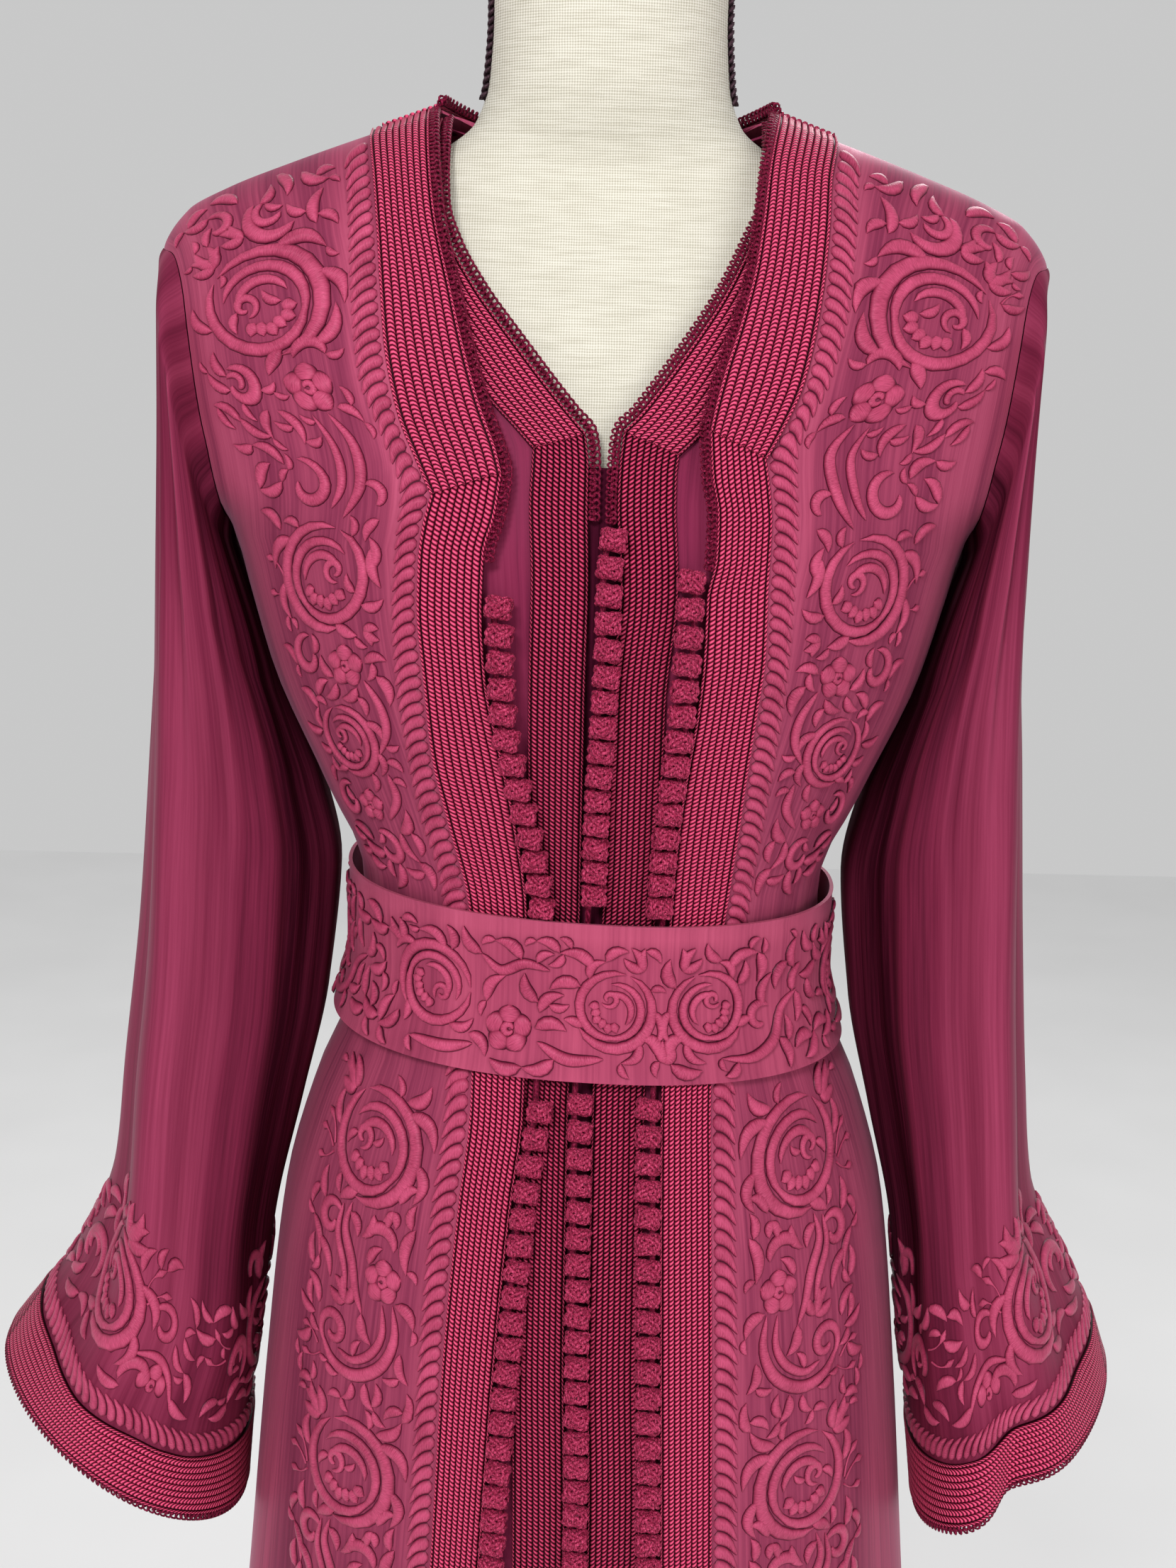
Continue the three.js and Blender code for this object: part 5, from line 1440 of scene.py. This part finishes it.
# The pattern's upper end, from the shoulder down to the belt
CHEST_PATTERN = (
    arc((36, 152), 14, 11, 215, 190, 3.2) + arc((38, 154), 7.5, 5, 200, 230, 2.0)
    + fan((50, 142), 25, 14, 2.6, 30, 3) + fan((66, 128), 50, 18, 2.7, 26, 5)
    + bud((74, 118), (88, 128), 2.2) + bud((76, 112), (90, 112), 2.2, -0.15)
    + leaf((14, 140), (10, 158), 2.6, -0.2) + leaf((52, 165), (66, 172), 2.6, 0.2)
    + arc((64, 155), 8, 4, 60, 250, 2.2)
    + leaf((24, 172), (14, 182), 2.4, 0.2) + arc((34, 178), 8, 4, 20, 220, 2.2)
    + scroll((42, 102), 30, 75)
    + leaf((18, 78), (6, 98), 3.0, 0.2) + arc((20, 72), 9, 7, 0, 170, 2.5)
    + flower((24, 57), 11.5)
    + arc((60, 58), 11, 4, 60, 310, 2.8) + arc((62, 60), 5, 3, 30, 220, 1.6)
    + leaf((68, 42), (54, 33), 2.4, 0.2) + leaf((45, 46), (38, 30), 2.4, -0.2)
    + leaf((50, 46), (54, 32), 2.2, 0.2)
    + ribbon([(20, 45), (14, 30), (18, 12), (26, -2)], 2.3)
    + ribbon([(28, 44), (24, 28), (27, 12), (32, 2)], 1.8)
    + arc((44, 12), 11, 5, 80, 290, 2.4)
    + leaf((54, 20), (68, 28), 2.5, 0.2) + leaf((58, 12), (72, 8), 2.3, -0.2)
    + arc((12, 8), 6, 4, 60, 180, 2.0) + leaf((8, -2), (14, -12), 2.2, 0.2)
    + scroll((36, -30), 24, 70, -1)
    + leaf((62, -10), (74, -2), 2.3, 0.2)
    + bud((62, -32), (76, -24), 1.9) + bud((62, -38), (76, -40), 1.9, -0.15)
    + leaf((10, -14), (5, -32), 2.4, 0.15) + fan((14, -52), 205, 9, 1.9, 34, 3)
    + flower((26, -70), 9.5)
    + arc((50, -68), 10, 4, 100, -300, 2.3) + leaf((60, -74), (72, -66), 2.0, 0.2)
    + ribbon([(16, -76), (9, -88), (8, -100), (14, -112)], 2.0)
    + scroll((33, -108), 17, 110)
    + leaf((50, -94), (62, -86), 2.1, 0.2) + leaf((52, -106), (66, -104), 1.9, -0.15)
    + ribbon([(12, -122), (10, -134), (18, -146)], 2.0) + flower((28, -140), 7.5)
    + arc((44, -140), 9, 4, 110, -300, 2.1) + leaf((14, -152), (8, -166), 2.0, 0.2)
    + arc((26, -162), 9, 4, 60, 300, 2.1) + leaf((38, -160), (52, -154), 2.0, 0.15)
)
CHEST_MIDDLE, CHEST_LOW, CHEST_HIGH = 1300.0, -176, 172

# One length of the pattern round a cuff: the first number goes round the sleeve, the second up from its hem
CUFF_PATTERN = (
    scroll((0, 92), 27, 60, -1)
    + fan((10, 121), 60, 22, 3.2, 24, 5) + leaf((-14, 120), (-10, 140), 3.0, 0.2)
    + arc((-22, 128), 9, 4, -40, 280, 2.4)
    + bud((28, 102), (40, 118), 2.2) + bud((30, 98), (46, 106), 2.2) + leaf((24, 112), (32, 126), 2.3, 0.2)
    + arc((44, 92), 10, 4, 150, -320, 2.5) + ribbon([(30, 74), (44, 76), (58, 70), (66, 58)], 2.1)
    + leaf((56, 86), (68, 76), 2.2, -0.2) + leaf((62, 92), (74, 84), 2.0, -0.2)
    + arc((36, 62), 9, 7, 200, -190, 2.6) + flower((48, 62), 10.5)
    + leaf((30, 56), (14, 58), 2.5, 0.15) + leaf((64, 62), (80, 56), 2.6, -0.15)
    + arc((-42, 84), 14, 6, -50, 300, 2.7) + arc((-43, 86), 7, 3, -30, 280, 1.8)
    + leaf((-34, 62), (-20, 58), 2.4, 0.2) + leaf((-54, 66), (-66, 58), 2.4, -0.2)
    + leaf((-48, 104), (-58, 116), 2.4, 0.2)
    + bud((-56, 94), (-70, 104), 2.0) + bud((-58, 88), (-74, 88), 2.0)
)
CUFF_LENGTH = 158.0
CUFF_START = 0.14
CUFF_STITCH_LOW, CUFF_STITCH_TOP, CUFF_STITCH_WAVE = 53, 126, 10

# One length round the belt: the second number is the height above its lower edge
BELT_PATTERN = (
    scroll((20, 29), 16, 150) + moved(scroll((20, 29), 16, 150), mirror=True)
    + leaf((2, 10), (10, 18), 2.2, 0.3) + leaf((-2, 10), (-10, 18), 2.2, -0.3)
    + fan((0, 8), 90, 9, 1.9, 30, 3)
    + fan((8, 46), 62, 11, 1.7, 30, 3) + moved(fan((8, 46), 62, 11, 1.7, 30, 3), mirror=True)
    + leaf((28, 46), (42, 52), 2.1, 0.2) + leaf((-28, 46), (-42, 52), 2.1, -0.2)
    + ribbon([(24, 9), (38, 8), (50, 14), (56, 26), (66, 32)], 1.9)
    + ribbon([(-24, 9), (-38, 8), (-50, 14)], 1.9)
    + flower((-62, 18), 9) + leaf((-50, 26), (-40, 34), 2.0, 0.2) + leaf((-72, 28), (-64, 40), 2.0, 0.2)
    + leaf((46, 28), (50, 42), 2.0, 0.2) + arc((44, 24), 6, 3, 40, 260, 1.6)
    + ribbon([(-46, 44), (-56, 46), (-66, 42), (-74, 48)], 1.8)
    + moved(scroll((0, 0), 17, 40), (-96, 31)) + fan((-112, 46), 130, 11, 1.8, 30, 3)
    + leaf((-78, 14), (-70, 6), 1.9, 0.2) + ribbon([(-104, 8), (-88, 7), (-76, 10)], 1.9)
    + leaf((-112, 16), (-122, 8), 2.0, 0.2)
)
BELT_REPEATS, BELT_SHIFT, BELT_SCALE = 3, 34, 1.16
BELT_STITCH_TOP = 70.0


def embroider(name, strokes, place):
    """Raised stitching of strokes. place(u, v, lift) gives points on the cloth."""
    across = np.array([-1, -0.62, 0, 0.62, 1])
    groups = {}
    for line, width in strokes:
        groups.setdefault(len(line), []).append((line, width))
    points, faces, flat, count = [], [], [], 0
    for size, members in sorted(groups.items()):
        line = np.stack([m[0] for m in members])
        width = STROKE_SPREAD * np.stack([m[1] for m in members])
        tangent = unit(np.gradient(line, axis=1))
        beside = np.stack([-tangent[..., 1], tangent[..., 0]], axis=-1)
        spot = line[:, :, None] + beside[:, :, None] * (width[..., None] * across)[..., None]
        height = np.minimum(1.7, 0.6 + 0.42 * width)[..., None] * (1 - np.abs(across) ** 3.2) + 0.05
        top = place(spot[..., 0], spot[..., 1], height)
        low = place(spot[..., [0, -1], 0], spot[..., [0, -1], 1], np.full(spot.shape[:2] + (2,), -0.3))
        some, some_faces = close_walls(top, low)
        flat.append(stroke_map(across, np.stack([run_lengths(each) for each in line])[..., None] * MM))
        points.append(some)
        faces += [group + count for group in some_faces]
        count += len(some)
    return make_piece(name, np.concatenate(points), faces, STITCHED,
                      flat=np.concatenate(flat), soft_angle=80)


def beside_border(sign):
    """Places on a front by the way outwards from its rope-stitched border, and the room at each height."""
    last = 299
    heights = np.linspace(HEM_Z, NECK_Z, last + 1)[:, None]
    edge = Curve(ROPE_EDGE[sign], "z", "x")(heights)
    x = edge + np.linspace(0, 1, 60)[None] * (seam_end(heights) - 1 - edge)
    gone = run_lengths(worn(sign * x, heights, -1), 1)

    def place(u, v, lift):
        row = np.clip((v - HEM_Z) / (NECK_Z - HEM_Z) * last, 0, last - 0.001)
        rows = row.astype(int)
        share = row - rows
        near = np.empty(u.shape)
        for k in np.unique(rows):
            here = rows == k
            first = np.interp(u[here], gone[k], x[k])
            second = np.interp(u[here], gone[k + 1], x[k + 1])
            near[here] = first * (1 - share[here]) + second * share[here]
        return worn(sign * near, v, -1, lift)

    return place, heights[:, 0], gone[:, -1]


def border_reach(v):
    """How far out the stitching goes on the skirt, in a wave with two crests to a length."""
    return 78 + 5 * np.sin(4 * math.pi * v / BORDER_LENGTH)


def chest_reach(v):
    return np.interp(v, [CHEST_LOW, -100, 0, 60, CHEST_HIGH], [54, 60, 74, 88, 92])


beside = moved(BORDER_PATTERN, (0, BORDER_LENGTH)) + moved(BORDER_PATTERN, (0, -BORDER_LENGTH))
border_strokes = filled(BORDER_PATTERN, beside, -BORDER_LENGTH, 0, border_reach)
chest_strokes = filled(CHEST_PATTERN, [], CHEST_LOW, CHEST_HIGH, chest_reach, 1400)

for side, sign in SIDES.items():
    strokes = moved(chest_strokes, (0, CHEST_MIDDLE))
    for k in range(BORDER_REPEATS):
        strokes += moved(border_strokes, (0, BORDER_TOP_Z - BORDER_LENGTH * k))
    place, heights, width = beside_border(sign)
    strokes = [(line, half) for line, half in strokes if line[:, 1].max() < NECK_Z - 7
               and (line[:, 0] + STROKE_SPREAD * half < np.interp(line[:, 1], heights, width)).all()]
    embroider("front_embroidery_" + side, strokes, place)

    surface = sleeves[side]
    ring = surface.points[:, CUFF_ROWS // 2]
    round_hem = run_lengths(np.concatenate([ring, ring[:1]]))[-1]
    repeats = max(3, round(round_hem / CUFF_LENGTH))
    strokes = []
    for k in range(repeats):
        strokes += moved(CUFF_PATTERN, (round_hem * (CUFF_START + k / repeats), 0))

    def cuff_reach(u, around=round_hem):
        return CUFF_STITCH_TOP + CUFF_STITCH_WAVE * np.cos(4 * math.pi * (u / around - CUFF_START))

    across = filled(swapped(strokes), [], 0, round_hem, cuff_reach, 1500)
    strokes = swapped([stroke for stroke in across if stroke[0][:, 0].min() > CUFF_STITCH_LOW])

    def cuff_place(u, v, lift, surface=surface, around=round_hem):
        return surface(360 * u / around, v, lift)

    embroider("cuff_embroidery_" + side, strokes, cuff_place)

belt_angles = np.linspace(-180, 180, 361)
gone = run_lengths(belt_point(belt_angles, np.full(len(belt_angles), BELT_MIDDLE), 0.0))
round_belt = gone[-1]


def belt_place(u, v, lift):
    angle = np.interp(u + round_belt / 2, gone, belt_angles)
    return belt_point(angle, BELT["bottom"] + v, lift + 0.3)


strokes = []
for k in range(BELT_REPEATS):
    strokes += moved(BELT_PATTERN, (BELT_SHIFT + (k - 1) * round_belt / BELT_REPEATS, 1), BELT_SCALE)
across = filled(swapped(strokes), [], -round_belt / 2, round_belt / 2, lambda u: BELT_STITCH_TOP, 2000)
embroider("belt_embroidery", swapped(across), belt_place)


# Dress form
GIMP_LOW_Z, GIMP_HIGH_Z, GIMP_Y, GIMP_APART = 1486, 1560, -7.0, 2.4


def make_form():
    low, high = FORM[0]["z"], FORM[-1]["z"]
    z = np.concatenate([np.linspace(low, 1380, 60), np.linspace(1385, 1500, 50), np.linspace(1504, high, 14)])
    angle = (360 * np.arange(80) / 80)[:, None]
    x, y = oval(angle, *(Curve(FORM, "z", key)(z)[None] for key in ("half", "front", "back")))
    rows = np.stack([x, y, z[None] + 0 * angle], axis=-1)
    count = rows.shape[1]
    faces = [grid_faces(len(rows), count, 0, loop=True)]
    faces.append(np.stack([np.arange(len(rows)) * count, np.arange(len(rows))[::-1] * count + count - 1]))
    return make_piece("form_cover", rows.reshape(-1, 3), faces, LINEN, ["dress_form"])


make_form()
for side, sign in SIDES.items():
    z = np.linspace(GIMP_LOW_Z, GIMP_HIGH_Z, 40)
    half = Curve(FORM, "z", "half")(z)
    path = np.stack([sign * (half + 0.4), np.full(len(z), GIMP_Y), z], axis=-1)
    outward = np.zeros((len(z), 3)) + np.array([sign * 0.35, -1.0, 0])
    for name, shift, lean in (("front", -GIMP_APART, 40), ("back", GIMP_APART, -40)):
        rings_along(f"neck_gimp_{name}_{side}", path + np.array([0, shift, 0]), unit(outward),
                    1.9, 1.0, 3.6, lean, GIMP)


# Camera, light and floor
CAMERA_PLACE, LENS = (-2.7, -1040.0, 1400.0), 48.0
CAMERA_DOWN, CAMERA_ROLL = 13.3, 1.3


def place_camera():
    data = bpy.data.cameras.new("camera")
    data.sensor_fit = "AUTO"
    data.sensor_width = 36
    data.lens = LENS
    camera = bpy.data.objects.new("camera", data)
    bpy.context.scene.collection.objects.link(camera)
    where = np.array(CAMERA_PLACE) * MM + AXIS
    tilt = Matrix.Rotation(math.radians(90 - CAMERA_DOWN), 4, "X")
    roll = Matrix.Rotation(math.radians(CAMERA_ROLL), 4, "Z")
    camera.matrix_world = Matrix.Translation(where.tolist()) @ tilt @ roll
    bpy.context.scene.camera = camera


def add_light(name, place, aim, size, power):
    data = bpy.data.lights.new(name, "AREA")
    data.shape = "DISK"
    data.size = size
    data.energy = power
    light = bpy.data.objects.new(name, data)
    bpy.context.scene.collection.objects.link(light)
    z = np.array(place, float) - np.array(aim, float)
    z /= np.linalg.norm(z)
    x = np.cross((0, 0, 1), z)
    x /= np.linalg.norm(x)
    y = np.cross(z, x)
    light.matrix_world = Matrix([(x[i], y[i], z[i], place[i]) for i in range(3)] + [(0, 0, 0, 1)])


def build_studio():
    bpy.ops.mesh.primitive_plane_add(size=8, location=(0, 0, 0))
    floor = bpy.context.object
    floor.name = "studio_floor"
    material, tree, shader = build_material("pale_floor", (0.86, 0.86, 0.86), 0.7)
    mottle = noise(tree, coordinates(tree, "object", (3, 3, 3)))
    paint(tree, shader, mottle, [(0.3, (0.84, 0.84, 0.84)), (0.7, (0.88, 0.88, 0.88))])
    floor.data.materials.append(material)
    world = bpy.data.worlds.new("studio")
    world.use_nodes = True
    world.node_tree.nodes["Background"].inputs["Color"].default_value = (1, 1, 1, 1)
    world.node_tree.nodes["Background"].inputs["Strength"].default_value = 0.58
    bpy.context.scene.world = world
    bpy.context.scene.view_settings.view_transform = "Standard"
    add_light("key", (-0.7, -2.4, 2.8), (0, 0, 1.1), 0.8, 56)
    add_light("fill", (1.3, -2.3, 1.3), (0, 0, 1.0), 1.6, 20)
    add_light("rim", (0.6, 2.2, 2.6), (0, 0, 1.2), 1.4, 25)


place_camera()
build_studio()
